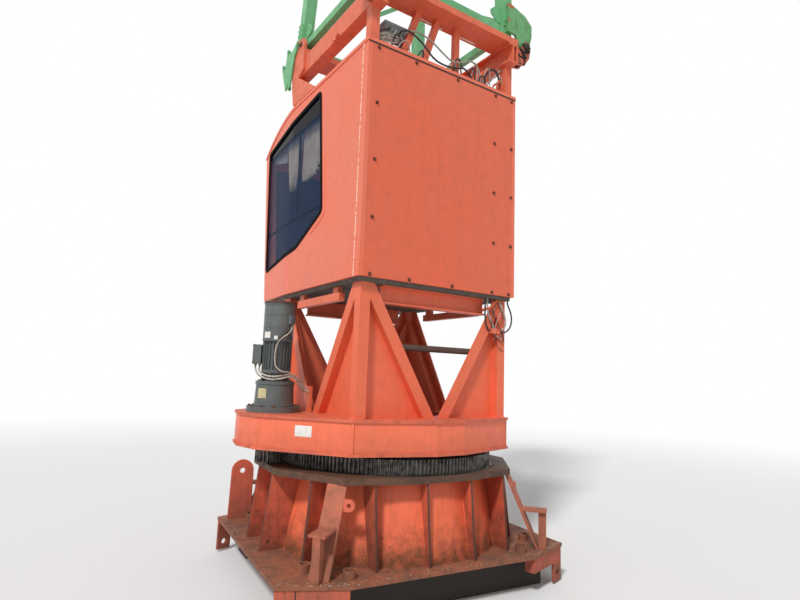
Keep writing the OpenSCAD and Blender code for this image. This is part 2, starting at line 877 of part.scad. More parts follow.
beam_front = 845;
beam_rear = 975;
fork_eye = 30;
fork_eye_y = -680;
fork_eye_z = 723;
fork_y = 900;

// Fork plate beside each beam's front end, with the gusset that runs back along the roof
module front_fork() {
  foot = roof_z + roof_t;
  translate([frame_half, 0, foot]) rotate([90, 0, 90]) linear_extrude(fork_t) difference() {
    polygon([[80 - fork_y, 30], [30 - fork_y, 230], [-fork_y, 400], [80 - fork_y, 760],
      [140 - fork_y, 800], [fork_eye_y + 60, fork_eye_z + 60], [fork_eye_y + 105, fork_eye_z - 20],
      [fork_eye_y + 105, frame_gap + 40], [-705, frame_gap - 20], [-230, 12], [-700, 12]]);
    translate([fork_eye_y, fork_eye_z]) circle(r = fork_eye);
  }
  translate([frame_half - stub_w, -beam_front, foot]) cube([stub_w, stub_w, frame_gap]);
}

module front_forks() {
  color("tomato") mirrored([1, 0, 0]) front_fork();
}

module side_beams() {
  color("tomato") mirrored([1, 0, 0])
    translate([frame_half - frame_w / 2, (beam_rear - beam_front) / 2, frame_z]) rotate([0, 0, 90]) {
      i_beam(beam_front + beam_rear, frame_w, frame_h, frame_t);
      translate([-(beam_front + beam_rear) / 2, -frame_w / 2, 0])
        cube([beam_front + beam_rear, frame_t, frame_h]);
    }
}

module cross_beams() {
  color("tomato") for (y = [cross_w / 2 - beam_front, beam_rear - cross_w / 2])
    translate([-frame_half, y - cross_w / 2, cross_z]) cube([2 * frame_half, cross_w, cross_h]);
}

lug_in = 866;
lug_gap = 50;

// Pairs of lug plates on the outer faces of the side beams at the rear corners
module rear_lugs() {
  color("tomato") mirrored([1, 0, 0]) for (y = [lug_in, lug_in + lug_t + lug_gap])
    translate([frame_half, y + lug_t, frame_z]) rotate([90, 0, 0]) linear_extrude(lug_t) difference() {
      polygon([[0, 5], [110, 30], [180, 130], [200, 230], [190, 310], [120, 310], [90, 235], [0, 190]]);
      translate([145, 250]) circle(r = fork_eye);
    }
}

strut_w = 60;

// Two leaning struts and an upright one between the roof and the rear box beam
module roof_struts() {
  foot = roof_z + roof_t;
  color("tomato") difference() {
    union() {
      bar([480, 780, foot], [300, 780, cross_z], strut_w);
      bar([240, 780, foot], [60, 780, cross_z], strut_w);
      translate([-210, 750, foot]) cube([strut_w, strut_w, cross_z - foot]);
    }
    translate([-frame_half, 0, foot - 100]) cube([2 * frame_half, 2 * frame_half, 100]);
    translate([-frame_half, 0, cross_z]) cube([2 * frame_half, 2 * frame_half, 100]);
  }
}

// Tower head

leg_shift = 10;

function leg_low(x, y) = [x * head_half, y * head_half + leg_shift, head_z];
function leg_high(x, y) =
  [x * head_top, front_lean - head_half + (y > 0 ? head_depth : 0), head_z + head_h];
function leg_at(x, y, f) = leg_low(x, y) + (leg_high(x, y) - leg_low(x, y)) * f;

lace_top = 0.97;
bay_ratio = 0.86;
lace_off = 70;

// Share of the height at which bay i ends: the bays shorten towards the top
function level(i) = lace_top * (1 - pow(bay_ratio, i)) / (1 - pow(bay_ratio, bays));

module head_legs() {
  color("mediumaquamarine") for (x = [-1, 1], y = [-1, 1])
    bar(leg_low(x, y), leg_high(x, y), leg_w);
}

// Diagonals and cross bars between two legs, each a bar of its own
module lacing(x1, y1, x2, y2) {
  off = lace_off / head_h;
  difference() {
    for (i = [0:bays - 1]) {
      low = level(i) + off;
      high = level(i + 1) - off;
      flip = i % 2;
      bar(leg_at(x1, y1, flip ? high : low), leg_at(x2, y2, flip ? low : high), lace_w);
      bar(leg_at(x1, y1, level(i + 1)), leg_at(x2, y2, level(i + 1)), lace_w);
    }
    bar(leg_low(x1, y1), leg_high(x1, y1), leg_w);
    bar(leg_low(x2, y2), leg_high(x2, y2), leg_w);
  }
}

module head_lacing_sides() {
  color("mediumaquamarine") for (x = [-1, 1]) lacing(x, 1, x, -1);
}

module head_lacing_ends() {
  color("mediumaquamarine") for (y = [-1, 1]) lacing(1, y, -1, y);
}

pad_w = 150;
pad_at = head_half - 20;
ring_bar = 70;
ring_out = 40;

// Square ring of bars around the legs at height z, the legs' axes at hx and between y0 and y1
module leg_ring(hx, y0, y1, out, z, h) {
  translate([0, 0, z]) difference() {
    translate([-hx - out, y0 - out, 0]) cube([2 * (hx + out), y1 - y0 + 2 * out, h]);
    translate([ring_bar - hx - out, y0 - out + ring_bar, -1])
      cube([2 * (hx + out - ring_bar), y1 - y0 + 2 * (out - ring_bar), h + 2]);
  }
}

// Foot frame with a block under each leg that stands on the box beams
module head_foot() {
  color("mediumaquamarine") difference() {
    union() {
      leg_ring(head_half, leg_shift - head_half, leg_shift + head_half, ring_out, foot_z, foot_h);
      translate([0, leg_shift, foot_z - foot_gap]) four()
        translate([pad_at - pad_w / 2, pad_at - pad_w / 2, 0]) cube([pad_w, pad_w, foot_gap + foot_h]);
    }
    head_legs();
  }
}

bracket_y = lug_in + lug_t + lug_gap / 2;
bracket_t = 30;

// Bracket plate that reaches out from each rear leg between the lugs of the frame below
module head_brackets() {
  out = frame_half + 255;
  color("mediumaquamarine") difference() {
    mirrored([1, 0, 0]) {
      translate([0, bracket_y + bracket_t / 2, foot_z]) rotate([90, 0, 0])
        linear_extrude(bracket_t) difference() {
          polygon([[head_half - 40, 0], [head_half + 80, 0], [out - 165, -170], [out - 65, -170],
            [out, 60], [out, 190], [out - 95, 270], [head_half + 20, 330], [head_half - 40, 330]]);
          translate([out - 110, frame_z + 250 - foot_z]) circle(r = fork_eye);
        }
      translate([head_half - 40, head_half, foot_z])
        cube([80, bracket_y - bracket_t / 2 - head_half, 320]);
    }
    head_legs();
    head_foot();
  }
}

// Closing frame around the legs' upper ends
module head_top() {
  z = head_z + head_h - foot_h - 10;
  y0 = front_lean - head_half;
  color("mediumaquamarine") difference() {
    leg_ring(head_top, y0, y0 + head_depth, ring_out, z, foot_h);
    head_legs();
  }
}

// Slewing drive

module drive_gearbox() {
  color("darkslategray") at_drive() translate([0, 0, deck_top_z]) difference() {
    union() {
      cylinder(r = drive_flange_r, h = drive_flange_t);
      translate([0, 0, drive_flange_t]) cylinder(r1 = gearbox_r, r2 = gearbox_r - 12, h = gearbox_h);
      translate([0, 0, drive_flange_t + gearbox_h]) cylinder(r = neck_r, h = neck_h);
      translate([0, 0, -deck_h - snout_low]) cylinder(r = snout_r, h = deck_h + snout_low + 1);
    }
    translate([0, 0, -deck_h - snout_low - 1]) cylinder(r = pinion_shaft_r + shaft_gap, h = deck_h + 20);
  }
}

fin_count = 24;
brake_r = motor_r + 5;

module drive_motor() {
  z0 = deck_top_z + drive_flange_t + gearbox_h + neck_h;
  color("dimgray") at_drive() translate([0, 0, z0]) {
    cylinder(r = motor_r - 18, h = motor_h);
    for (i = [0:fin_count - 1]) rotate([0, 0, i * 360 / fin_count])
      translate([motor_r - 22, -3, 10]) cube([22, 6, motor_h - 20]);
    translate([0, 0, motor_h]) cylinder(r = brake_r, h = brake_h + cap_h);
  }
}

module terminal_box() {
  z0 = deck_top_z + drive_flange_t + gearbox_h + neck_h;
  color("gray") at_drive() {
    rotate([0, 0, -27]) translate([motor_r, -65, z0 + 65]) cube([75, 130, 180]);
    difference() {
      rotate([0, 0, 125]) translate([motor_r, -30, z0 + 445]) cube([35, 60, 85]);
      translate([0, 0, z0 + motor_h]) cylinder(r = brake_r, h = brake_h);
    }
  }
}

// Cables

cable_sides = 8;
cable_steps = 3;
lead_r = 9;
loop_r = 8;
clamp_x = 885;
clamp_y = -24;
clamp_h = 244;
clip_x = -760;
clip_l = 120;
clip_z = 2345;
clip_y = ped_half + 16;
box_z = deck_top_z + drive_flange_t + gearbox_h + neck_h + 65;
brake_box_z = box_z + 380;

lead_a = [[1353, -227, box_z], [1354, -224, box_z - 32], [1350, -200, 1886], [1334, -150, 1850],
  [1300, -68, 1826], [1250, -6, 1818], [1190, 30, 1830], [1115, 34, 1846], [1045, 22, 1826],
  [990, 8, 1776], [955, -2, 1741], [922, -8, 1718], [clamp_x, -9, 1712]];
lead_b = [[1320, -205, box_z], [1322, -202, box_z - 30], [1332, -178, 1902], [1325, -120, 1870],
  [1290, -50, 1850], [1240, -14, 1846], [1180, 4, 1854], [1105, -4, 1864], [1035, -18, 1838],
  [985, -31, 1782], [952, -36, 1744], [920, -38, 1718], [clamp_x, -38, 1712]];
lead_c = [[1104, 5, brake_box_z], [1106, 8, brake_box_z - 40], [1122, 20, 2272], [1155, 30, 2240],
  [1196, 30, 2212], [1232, 18, 2170], [1250, 6, 2100], [1254, 5, 2010], [1240, 16, 1938],
  [1190, 32, 1896], [1120, 22, 1888], [1045, 4, 1862], [990, -12, 1810], [955, -19, 1774],
  [922, -23, 1750], [clamp_x, -24, 1744]];
loop_a = [[-868, 868, cab_floor_z], [-871, 869, 2655], [-887, 876, 2612], [-908, 880, 2560],
  [-917, 880, 2500], [-905, 880, 2440], [-875, 878, 2396], [-835, 873, 2368], [-795, clip_y + 2, 2358],
  [clip_x, clip_y, 2358]];
loop_b = [[-762, 868, cab_floor_z], [-764, 869, 2655], [-778, 876, 2612], [-802, 881, 2565],
  [-823, 883, 2515], [-831, 883, 2465], [-822, 881, 2422], [-798, 872, 2392], [clip_x, clip_y, 2382]];
loop_c = [[-592, 868, cab_floor_z], [-592, 868, 2650], [-595, 869, 2600], [-603, 871, 2545],
  [-622, 872, 2495], [-650, 871, 2455], [-671, 868, 2426], [-677, clip_y, clip_z + 50]];
loop_d = [[-564, 868, cab_floor_z], [-564, 868, 2650], [-564, 869, 2580], [-564, 871, 2500],
  [-571, 872, 2448], [-588, 871, 2408], [-612, 868, 2380], [clip_x + clip_l, clip_y, 2370]];

// Unit vector along the axis that v follows most
function along(v) = [for (c = v) abs(c) == max([for (q = v) abs(q)]) ? sign(c) : 0];

// Point at share t of the span from point i of p to the next, on a smooth curve
function spline(p, i, t) =
  let (b = p[i], c = p[i + 1], a = i > 0 ? p[i - 1] : 2 * b - c,
       d = i + 2 < len(p) ? p[i + 2] : 2 * c - b)
  0.5 * (2 * b + t * (c - a) + t * t * (2 * a - 5 * b + 4 * c - d)
    + t * t * t * (3 * b - a - 3 * c + d));

// Round cable of radius r along the smooth curve through the given points
module cable(points, r) {
  last = len(points) - 1;
  n = cable_sides;
  p = concat([for (i = [0:last - 1], k = [0:cable_steps - 1]) spline(points, i, k / cable_steps)],
    [points[last]]);
  m = len(p);
  run = [for (i = [0:m - 1])
    i == 0 ? along(points[1] - points[0])
      : i == m - 1 ? along(points[last] - points[last - 1]) : unit(p[i + 1] - p[i - 1])];
  start = cross(run[0], abs(run[0][0]) < 0.9 ? [1, 0, 0] : [0, 1, 0]);
  side = [for (i = 0, u = unit(start); i < m;
    u = unit(u - (u * run[min(i + 1, m - 1)]) * run[min(i + 1, m - 1)]), i = i + 1) u];
  rings = [for (i = [0:m - 1], k = [0:n - 1])
    p[i] + r * (side[i] * cos(360 * k / n) + cross(run[i], side[i]) * sin(360 * k / n))];
  polyhedron(rings, concat(
    [[for (k = [0:n - 1]) k]],
    [[for (k = [n - 1:-1:0]) (m - 1) * n + k]],
    [for (i = [0:m - 2], k = [0:n - 1]) [i * n + k, (i + 1) * n + k, (i + 1) * n + (k + 1) % n]],
    [for (i = [0:m - 2], k = [0:n - 1]) [i * n + k, (i + 1) * n + (k + 1) % n, i * n + (k + 1) % n]]));
}

// Cables of the motor and the brake, held by the boxes and the clamp post
module motor_leads() {
  color("black") {
    cable(lead_a, lead_r);
    cable(lead_b, lead_r);
    cable(lead_c, lead_r - 2);
  }
}

// Clamp post on the deck and clip on the rear of the pedestal
module cable_clips() {
  color("tomato") {
    translate([clamp_x - 30, clamp_y - 30, deck_top_z]) cube([30, 60, clamp_h]);
    translate([clip_x, ped_half, clip_z]) cube([clip_l, 30, 50]);
  }
}

module cable_loop_1() {
  color("black") cable(loop_a, loop_r);
}

module cable_loop_2() {
  color("gray") cable(loop_b, loop_r);
}

module cable_loop_3() {
  color("gray") cable(loop_c, loop_r);
}

module cable_loop_4() {
  color("black") cable(loop_d, loop_r);
}

stand_beams();
stand_cross();
base_flange();
corner_feet();
drum();
drum_ribs();
corner_bars();
base_lugs();
base_top();
flange_sockets();
toothed_ring();
inner_race();
deck_bottom();
deck_skirt();
deck_core();
deck_top();
pedestal_posts();
pedestal_rear();
pedestal_left();
pedestal_front();
pedestal_right();
rear_tube();
floor_joists();
cab_floor();
cab_posts();
rear_wall();
left_wall();
right_wall();
front_wall();
roof();
side_windows();
window_bars();
windscreen();
seat();
console();
frame_posts();
front_forks();
side_beams();
cross_beams();
rear_lugs();
roof_struts();
head_foot();
head_brackets();
head_legs();
head_lacing_sides();
head_lacing_ends();
head_top();
drive_gearbox();
drive_motor();
terminal_box();
pinion();
motor_leads();
cable_clips();
cable_loop_1();
cable_loop_2();
cable_loop_3();
cable_loop_4();
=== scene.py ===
import math
import random

import bmesh
import bpy
from mathutils import Matrix, Vector


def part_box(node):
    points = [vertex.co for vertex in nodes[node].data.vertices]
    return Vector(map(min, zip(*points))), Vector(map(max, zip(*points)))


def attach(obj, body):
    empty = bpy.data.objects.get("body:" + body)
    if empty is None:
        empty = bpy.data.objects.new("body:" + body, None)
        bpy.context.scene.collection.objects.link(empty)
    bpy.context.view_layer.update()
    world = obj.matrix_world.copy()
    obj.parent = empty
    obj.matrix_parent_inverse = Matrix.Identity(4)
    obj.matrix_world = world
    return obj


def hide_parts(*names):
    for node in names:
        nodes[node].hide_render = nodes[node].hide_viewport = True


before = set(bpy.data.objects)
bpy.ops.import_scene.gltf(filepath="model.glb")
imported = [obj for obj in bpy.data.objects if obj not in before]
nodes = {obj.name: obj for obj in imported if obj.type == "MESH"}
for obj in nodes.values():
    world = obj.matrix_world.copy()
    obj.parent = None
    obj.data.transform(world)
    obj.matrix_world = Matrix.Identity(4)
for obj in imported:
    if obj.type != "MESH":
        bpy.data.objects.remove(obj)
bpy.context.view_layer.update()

# The view: a person's eye height behind the left rear corner of the unit, looking
# up a little with a wide lens, held slightly off level.
EYE = Vector((3.147, 4.935, 1.898))
VIEW_AZIMUTH = math.radians(146.486)
VIEW_PITCH = math.radians(7.777)
VIEW_ROLL = math.radians(2.029)
LENS_MM = 24.81


def framed(side, up_way, out, at):
    """The placing at a spot whose local x, y and z point along the three directions."""
    return Matrix.Translation(at) @ Matrix((side, up_way, out)).transposed().to_4x4()


forward = Vector((-math.sin(VIEW_AZIMUTH) * math.cos(VIEW_PITCH),
                  math.cos(VIEW_AZIMUTH) * math.cos(VIEW_PITCH), math.sin(VIEW_PITCH)))
level_right = Vector((math.cos(VIEW_AZIMUTH), math.sin(VIEW_AZIMUTH), 0))
level_up = level_right.cross(forward)
right = level_right * math.cos(VIEW_ROLL) + level_up * math.sin(VIEW_ROLL)
up = level_up * math.cos(VIEW_ROLL) - level_right * math.sin(VIEW_ROLL)
camera = bpy.data.objects.new("camera", bpy.data.cameras.new("camera"))
camera.matrix_world = framed(right, up, -forward, EYE)
camera.data.sensor_width = 36
camera.data.lens = LENS_MM
camera.data.clip_end = 300
bpy.context.scene.collection.objects.link(camera)
bpy.context.scene.camera = camera
bpy.context.scene.view_settings.view_transform = "Standard"


# The four cables that hang in loops behind the right rear post, from the cab's floor
# to the clip on the pedestal: rubber and plastic sheathed, extruded, 16 mm thick.
def linear(hex_colour):
    """An sRGB hex colour as the linear values that a shader takes."""
    parts = [int(hex_colour[i:i + 2], 16) / 255 for i in (1, 3, 5)]
    return tuple(c / 12.92 if c <= 0.04045 else ((c + 0.055) / 1.055) ** 2.4 for c in parts) + (1,)


def add(tree, kind, fields=None):
    """A node with its fields. A key that is a socket's name or number sets that socket, or
    feeds it from another socket or from a node's first output in use; any other key is a
    property of the node."""
    node = tree.nodes.new(kind)
    for key, value in (fields or {}).items():
        if isinstance(value, bpy.types.Node):
            value = next(output for output in value.outputs if output.enabled)
        if isinstance(value, bpy.types.NodeSocket):
            tree.links.new(value, node.inputs[key])
        elif isinstance(key, int) or key in node.inputs:
            node.inputs[key].default_value = value
        else:
            setattr(node, key, value)
    return node


def material(name):
    """A new material, its empty tree and the object coordinates that its patterns follow."""
    made = bpy.data.materials.new(name)
    made.use_nodes = True
    tree = made.node_tree
    tree.nodes.clear()
    return made, tree, add(tree, "ShaderNodeTexCoord").outputs["Object"]


def coated(tree, under, over_hex, value, start, full, most=1.0):
    """A colour with another over it where the value climbs from start to full, and the
    share that is covered."""
    share = add(tree, "ShaderNodeMapRange",
                {"Value": value, "From Min": start, "From Max": full, "To Max": most})
    return add(tree, "ShaderNodeMix", {"data_type": "RGBA", 0: share, 6: under, 7: linear(over_hex)}), share


def sheathed(name, clean_hex, dusty_hex, shine, glancing=0.5):
    """Extruded cable sheath: dull, with dust in soft patches and fine scuffs. Less glancing
    light keeps black rubber black where it is seen at a flat angle."""
    made, tree, where = material(name)
    dust = add(tree, "ShaderNodeTexNoise", {"Vector": where, "Scale": 22.0, "Detail": 6.0, "Roughness": 0.6})
    colour, share = coated(tree, linear(clean_hex), dusty_hex, dust, 0.4, 0.7)
    rough = add(tree, "ShaderNodeMapRange", {"Value": share, "To Min": shine, "To Max": shine + 0.3})
    scuff = add(tree, "ShaderNodeTexNoise", {"Vector": where, "Scale": 400.0, "Detail": 2.0})
    raised = add(tree, "ShaderNodeBump", {"Height": scuff, "Strength": 0.2, "Distance": 0.001})
    shader = add(tree, "ShaderNodeBsdfPrincipled", {
        "Base Color": colour, "Roughness": rough, "Normal": raised, "IOR": 1.52, "Specular IOR Level": glancing})
    add(tree, "ShaderNodeOutputMaterial", {"Surface": shader})
    return made


def smooth_route(points_mm, steps=6):
    """Points in metres on a smooth curve through the given ones."""
    p = [Vector(q) / 1000 for q in points_mm]
    route = []
    for i in range(len(p) - 1):
        b, c = p[i], p[i + 1]
        a = p[i - 1] if i else 2 * b - c
        d = p[i + 2] if i + 2 < len(p) else 2 * c - b
        route += [0.5 * (2 * b + t * (c - a) + t * t * (2 * a - 5 * b + 4 * c - d)
                         + t ** 3 * (3 * b - a - 3 * c + d))
                  for t in (k / steps for k in range(steps))]
    return route + [p[-1]]


def cable(name, route, radius, finish):
    """A round cable on the upper part, as a curve along the route."""
    line = bpy.data.curves.new(name, "CURVE")
    line.dimensions = "3D"
    line.bevel_depth = radius
    line.bevel_resolution = 3
    line.use_fill_caps = True
    spline = line.splines.new("POLY")
    spline.points.add(len(route) - 1)
    for point, place in zip(spline.points, route):
        point.co = (*place, 1)
    line.materials.append(finish)
    made = bpy.data.objects.new(name, line)
    bpy.context.scene.collection.objects.link(made)
    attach(made, "upper")
    return made


black_sheath = sheathed("black_rubber_sheath", "#17171A", "#3B3936", 0.45)
grey_sheath = sheathed("pale_grey_plastic_sheath", "#A9A59C", "#7E776C", 0.5)
LOOP_R = 0.008
LOOPS = {
    "cable_loop_1": (black_sheath, [
        (-868, 868, 2690), (-871, 869, 2655), (-887, 876, 2612), (-908, 880, 2560),
        (-917, 880, 2500), (-905, 880, 2440), (-875, 878, 2396), (-835, 873, 2368),
        (-795, 868, 2358), (-760, 866, 2358)]),
    "cable_loop_2": (grey_sheath, [
        (-762, 868, 2690), (-764, 869, 2655), (-778, 876, 2612), (-802, 881, 2565),
        (-823, 883, 2515), (-831, 883, 2465), (-822, 881, 2422), (-798, 872, 2392),
        (-760, 866, 2382)]),
    "cable_loop_3": (grey_sheath, [
        (-592, 868, 2690), (-592, 868, 2650), (-595, 869, 2600), (-603, 871, 2545),
        (-622, 872, 2495), (-650, 871, 2455), (-671, 868, 2426), (-677, 866, 2395)]),
    "cable_loop_4": (black_sheath, [
        (-564, 868, 2690), (-564, 868, 2650), (-564, 869, 2580), (-564, 871, 2500),
        (-571, 872, 2448), (-588, 871, 2408), (-612, 868, 2380), (-640, 866, 2370)]),
}
for node_name, (sheath, points) in LOOPS.items():
    route = smooth_route(points)
    loop = cable(node_name.replace("cable", "hanging"), route, LOOP_R, sheath)
    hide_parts(node_name)


# The studio: a plain pale floor that runs out into a white surround, one very large
# soft lamp high on the left as the sun stood, and an even fill from all round.
FLOOR_R = 60.0
FADE_START, FADE_END = 7.0, 20.0
FLOOR_GREY = 0.80
FILL = 0.47
SUN_STRENGTH = 2.40
SUN_ANGLE = math.radians(8)
SUN_FROM = Vector((0.74, 0.50, 0.95))


def seen_directly(tree):
    """1 where a camera, glossy or see-through ray looks at the surround."""
    rays = add(tree, "ShaderNodeLightPath").outputs
    mirrored = add(tree, "ShaderNodeMath", {
        "operation": "MAXIMUM", 0: rays["Is Camera Ray"], 1: rays["Is Glossy Ray"]})
    return add(tree, "ShaderNodeMath", {"operation": "MAXIMUM", 0: mirrored, 1: rays["Is Transmission Ray"]})


studio_floor, tree, where = material("pale_studio_floor")
reach = add(tree, "ShaderNodeVectorMath", {"operation": "LENGTH", 0: where})
fade = add(tree, "ShaderNodeMapRange", {
    "Value": reach, "From Min": FADE_START, "From Max": FADE_END, "interpolation_type": "SMOOTHSTEP"})
faded = add(tree, "ShaderNodeMath", {"operation": "MULTIPLY", 0: fade, 1: seen_directly(tree)})
paint = add(tree, "ShaderNodeBsdfDiffuse", {"Color": (FLOOR_GREY, FLOOR_GREY, FLOOR_GREY, 1)})
white = add(tree, "ShaderNodeEmission", {"Color": (1, 1, 1, 1), "Strength": 1.0})
mixed = add(tree, "ShaderNodeMixShader", {0: faded, 1: paint, 2: white})
add(tree, "ShaderNodeOutputMaterial", {"Surface": mixed})

mesh = bmesh.new()
bmesh.ops.create_circle(mesh, cap_ends=True, segments=64, radius=FLOOR_R)
floor_mesh = bpy.data.meshes.new("studio_floor")
mesh.to_mesh(floor_mesh)
mesh.free()
floor = bpy.data.objects.new("studio_floor", floor_mesh)
floor_mesh.materials.append(studio_floor)
bpy.context.scene.collection.objects.link(floor)

world = bpy.data.worlds.new("white_surround")
world.use_nodes = True
tree = world.node_tree
tree.nodes.clear()
strength = add(tree, "ShaderNodeMapRange", {"Value": seen_directly(tree), "To Min": FILL, "To Max": 1.0})
around = add(tree, "ShaderNodeBackground", {"Color": (1, 1, 1, 1), "Strength": strength})
add(tree, "ShaderNodeOutputWorld", {"Surface": around})
bpy.context.scene.world = world

sun = bpy.data.objects.new("soft_sun", bpy.data.lights.new("soft_sun", "SUN"))
sun.data.energy = SUN_STRENGTH
sun.data.angle = SUN_ANGLE
sun.rotation_euler = SUN_FROM.to_track_quat("Z", "Y").to_euler()
bpy.context.scene.collection.objects.link(sun)


# The stand: two heavy steel beams and a cross beam under the base. Old dark grey primer, dull and dusty, with
# rust where it rubs, and bare ends;
# its grey is painted near black as painted shade for the shadow under the base's flange.
GRIME_DEPTH = 0.004


def dress(names, finish):
    """Puts one finish on CAD nodes."""
    for name in names:
        slots = nodes[name].data.materials
        slots.clear()
        slots.append(finish)


def weathered(name, paint_hex, faded_hex, dirt_hex, rust_hex, roughness, fade_scale, streaks,
              dirt_from=None, dirt_to=None, dirt_most=0.8, dirt_least=0.12, rust_share=0.06,
              rust_mm=18, chip_hex=None, chip_share=0.5, edge_dirt=0.0, metallic=0.0, bump=0.12):
    """Paint that has stood outdoors: a faded, cloudy coat, rain streaks, dirt that thickens
    from the height dirt_to down to dirt_from, rust spots about rust_mm across, chips down to
    the primer, and a worn brown on the narrow faces that look away from the slewing axis."""
    made, tree, where = material(name)
    cloud = add(tree, "ShaderNodeTexNoise",
                {"Vector": where, "Scale": fade_scale, "Detail": 5.0, "Roughness": 0.6})
    colour, _ = coated(tree, linear(paint_hex), faded_hex, cloud, 0.35, 0.68)
    drawn = add(tree, "ShaderNodeMapping", {"Vector": where, "Scale": (26.0, 26.0, 1.1)})
    streak = add(tree, "ShaderNodeTexNoise", {"Vector": drawn, "Scale": 1.0, "Detail": 4.0, "Roughness": 0.65})
    colour, _ = coated(tree, colour, dirt_hex, streak, 0.5, 0.8, streaks)
    grit = add(tree, "ShaderNodeTexNoise", {"Vector": where, "Scale": 9.0, "Detail": 9.0, "Roughness": 0.72})
    if dirt_to is None:
        colour, thick = coated(tree, colour, dirt_hex, grit, 0.45, 0.72, dirt_most)
    else:
        place = add(tree, "ShaderNodeSeparateXYZ", {"Vector": where})
        height = add(tree, "ShaderNodeMapRange", {
            "Value": place.outputs["Z"], "From Min": dirt_to, "From Max": dirt_from, "To Min": dirt_least})
        pushed = add(tree, "ShaderNodeMath", {"operation": "MULTIPLY_ADD", 0: grit, 1: 1.9, 2: -0.95})
        summed = add(tree, "ShaderNodeMath", {"operation": "ADD", 0: height, 1: pushed})
        colour, thick = coated(tree, colour, dirt_hex, summed, 0.15, 1.0, dirt_most)
    if edge_dirt:
        flat = add(tree, "ShaderNodeVectorMath", {"operation": "MULTIPLY", 0: where, 1: (1.0, 1.0, 0.0)})
        outward = add(tree, "ShaderNodeVectorMath", {"operation": "NORMALIZE", 0: flat})
        facing = add(tree, "ShaderNodeVectorMath", {
            "operation": "DOT_PRODUCT", 0: outward, 1: where.node.outputs["Normal"]})
        colour, _ = coated(tree, colour, dirt_hex, facing, 0.45, 0.75, edge_dirt)
    spots = add(tree, "ShaderNodeTexVoronoi",
                {"Vector": where, "Scale": 1000 / (rust_mm * 6), "Randomness": 1.0})
    frayed = add(tree, "ShaderNodeTexNoise", {"Vector": where, "Scale": 55.0, "Detail": 4.0})
    edge = add(tree, "ShaderNodeMath", {"operation": "MULTIPLY_ADD", 0: frayed, 1: 0.35, 2: spots})
    pick = add(tree, "ShaderNodeTexNoise", {"Vector": where, "Scale": 1.7, "Detail": 3.0})
    limit = add(tree, "ShaderNodeMapRange", {
        "Value": pick, "From Min": 0.45, "From Max": 0.75, "To Min": 0.16, "To Max": 0.16 + 2.2 * rust_share})
    spot = add(tree, "ShaderNodeMath", {"operation": "SUBTRACT", 0: limit, 1: edge})
    colour, _ = coated(tree, colour, rust_hex, spot, 0.0, 0.05)
    if chip_hex:
        chips = add(tree, "ShaderNodeTexNoise",
                    {"Vector": where, "Scale": 38.0, "Detail": 6.0, "Roughness": 0.7})
        chip_from = 0.78 - 0.23 * chip_share
        colour, _ = coated(tree, colour, chip_hex, chips, chip_from, chip_from + 0.02, 0.9)
    rough = add(tree, "ShaderNodeMapRange",
                {"Value": thick, "To Min": roughness, "To Max": min(1.0, roughness + 0.35)})
    grain = add(tree, "ShaderNodeTexNoise", {"Vector": where, "Scale": 240.0, "Detail": 2.0})
    relief = add(tree, "ShaderNodeMath", {"operation": "MULTIPLY_ADD", 0: grain, 1: 0.3, 2: grit})
    raised = add(tree, "ShaderNodeBump", {"Height": relief, "Strength": bump, "Distance": GRIME_DEPTH})
    shader = add(tree, "ShaderNodeBsdfPrincipled", {
        "Base Color": colour, "Roughness": rough, "Normal": raised, "Metallic": metallic, "IOR": 1.48})
    add(tree, "ShaderNodeOutputMaterial", {"Surface": shader})
    return made


STAND_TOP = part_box("stand_beams")[1].z
# Painted shade: the primer is taken down to near black for the shadow that the flange casts on the beams.
dress(["stand_beams", "stand_cross"], weathered(
    "dark_primer_with_painted_shade", "#191716", "#23201E", "#3F362E", "#38221A", 0.62, 1.3, 0.35,
    dirt_from=0.0, dirt_to=STAND_TOP, dirt_most=0.75, rust_share=0.12))


# The base flange with its corner feet: flame-cut steel plate, painted orange long ago,
# now brown with dried mud, rust and light grit. A nut sits deep in each of its sockets.
BASE_TURN = Matrix.Rotation(math.radians(-5), 3, "Z")
FLANGE_LOW, FLANGE_TOP = (corner.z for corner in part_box("base_flange"))
SOCKET_AT = (1.390, 0.190)
NUT_ACROSS, NUT_HIGH = 0.046, 0.026
STUD_R, STUD_HIGH = 0.014, 0.048

dress(["base_flange", "flange_sockets"], weathered(
    "muddy_orange_plate", "#9A5A3E", "#7A4E3B", "#54443A", "#43281E", 0.72, 2.2, 0.3,
    dirt_most=0.9, rust_share=0.14, rust_mm=26, chip_hex="#B4A796", chip_share=0.55, bump=0.4))
dress(["corner_feet"], weathered(
    "orange_foot_paint", "#D26345", "#B9573F", "#5E4438", "#4E2B1E", 0.6, 1.8, 0.5,
    dirt_from=0.0, dirt_to=FLANGE_LOW + 0.25, dirt_most=0.75, rust_share=0.12))


def stood(spot, axis=(0, 0, 1), turn=0.0):
    """The placing that puts local z along axis at the spot."""
    return (Matrix.Translation(Vector(spot)) @ Vector(axis).to_track_quat("Z", "Y").to_matrix().to_4x4()
            @ Matrix.Rotation(turn, 4, "Z"))


def turned(mesh, placing, high, r_low, r_high=None, sides=24, soft=0.0):
    """A turned, hexagonal or square bar that stands on the placing, its top edge eased."""
    r_high = r_low if r_high is None else r_high
    made = bmesh.ops.create_cone(mesh, cap_ends=True, segments=sides, radius1=r_low, radius2=r_high,
                                 depth=high, matrix=placing @ Matrix.Translation((0, 0, high / 2)))["verts"]
    if soft:
        back = placing.inverted()
        tops = {v for v in made if (back @ v.co).z > high / 2}
        rim = [e for e in {e for v in tops for e in v.link_edges} if tops.issuperset(e.verts)]
        bmesh.ops.bevel(mesh, geom=rim, offset=soft, segments=1, affect="EDGES", profile=0.5, material=-1)
    return made


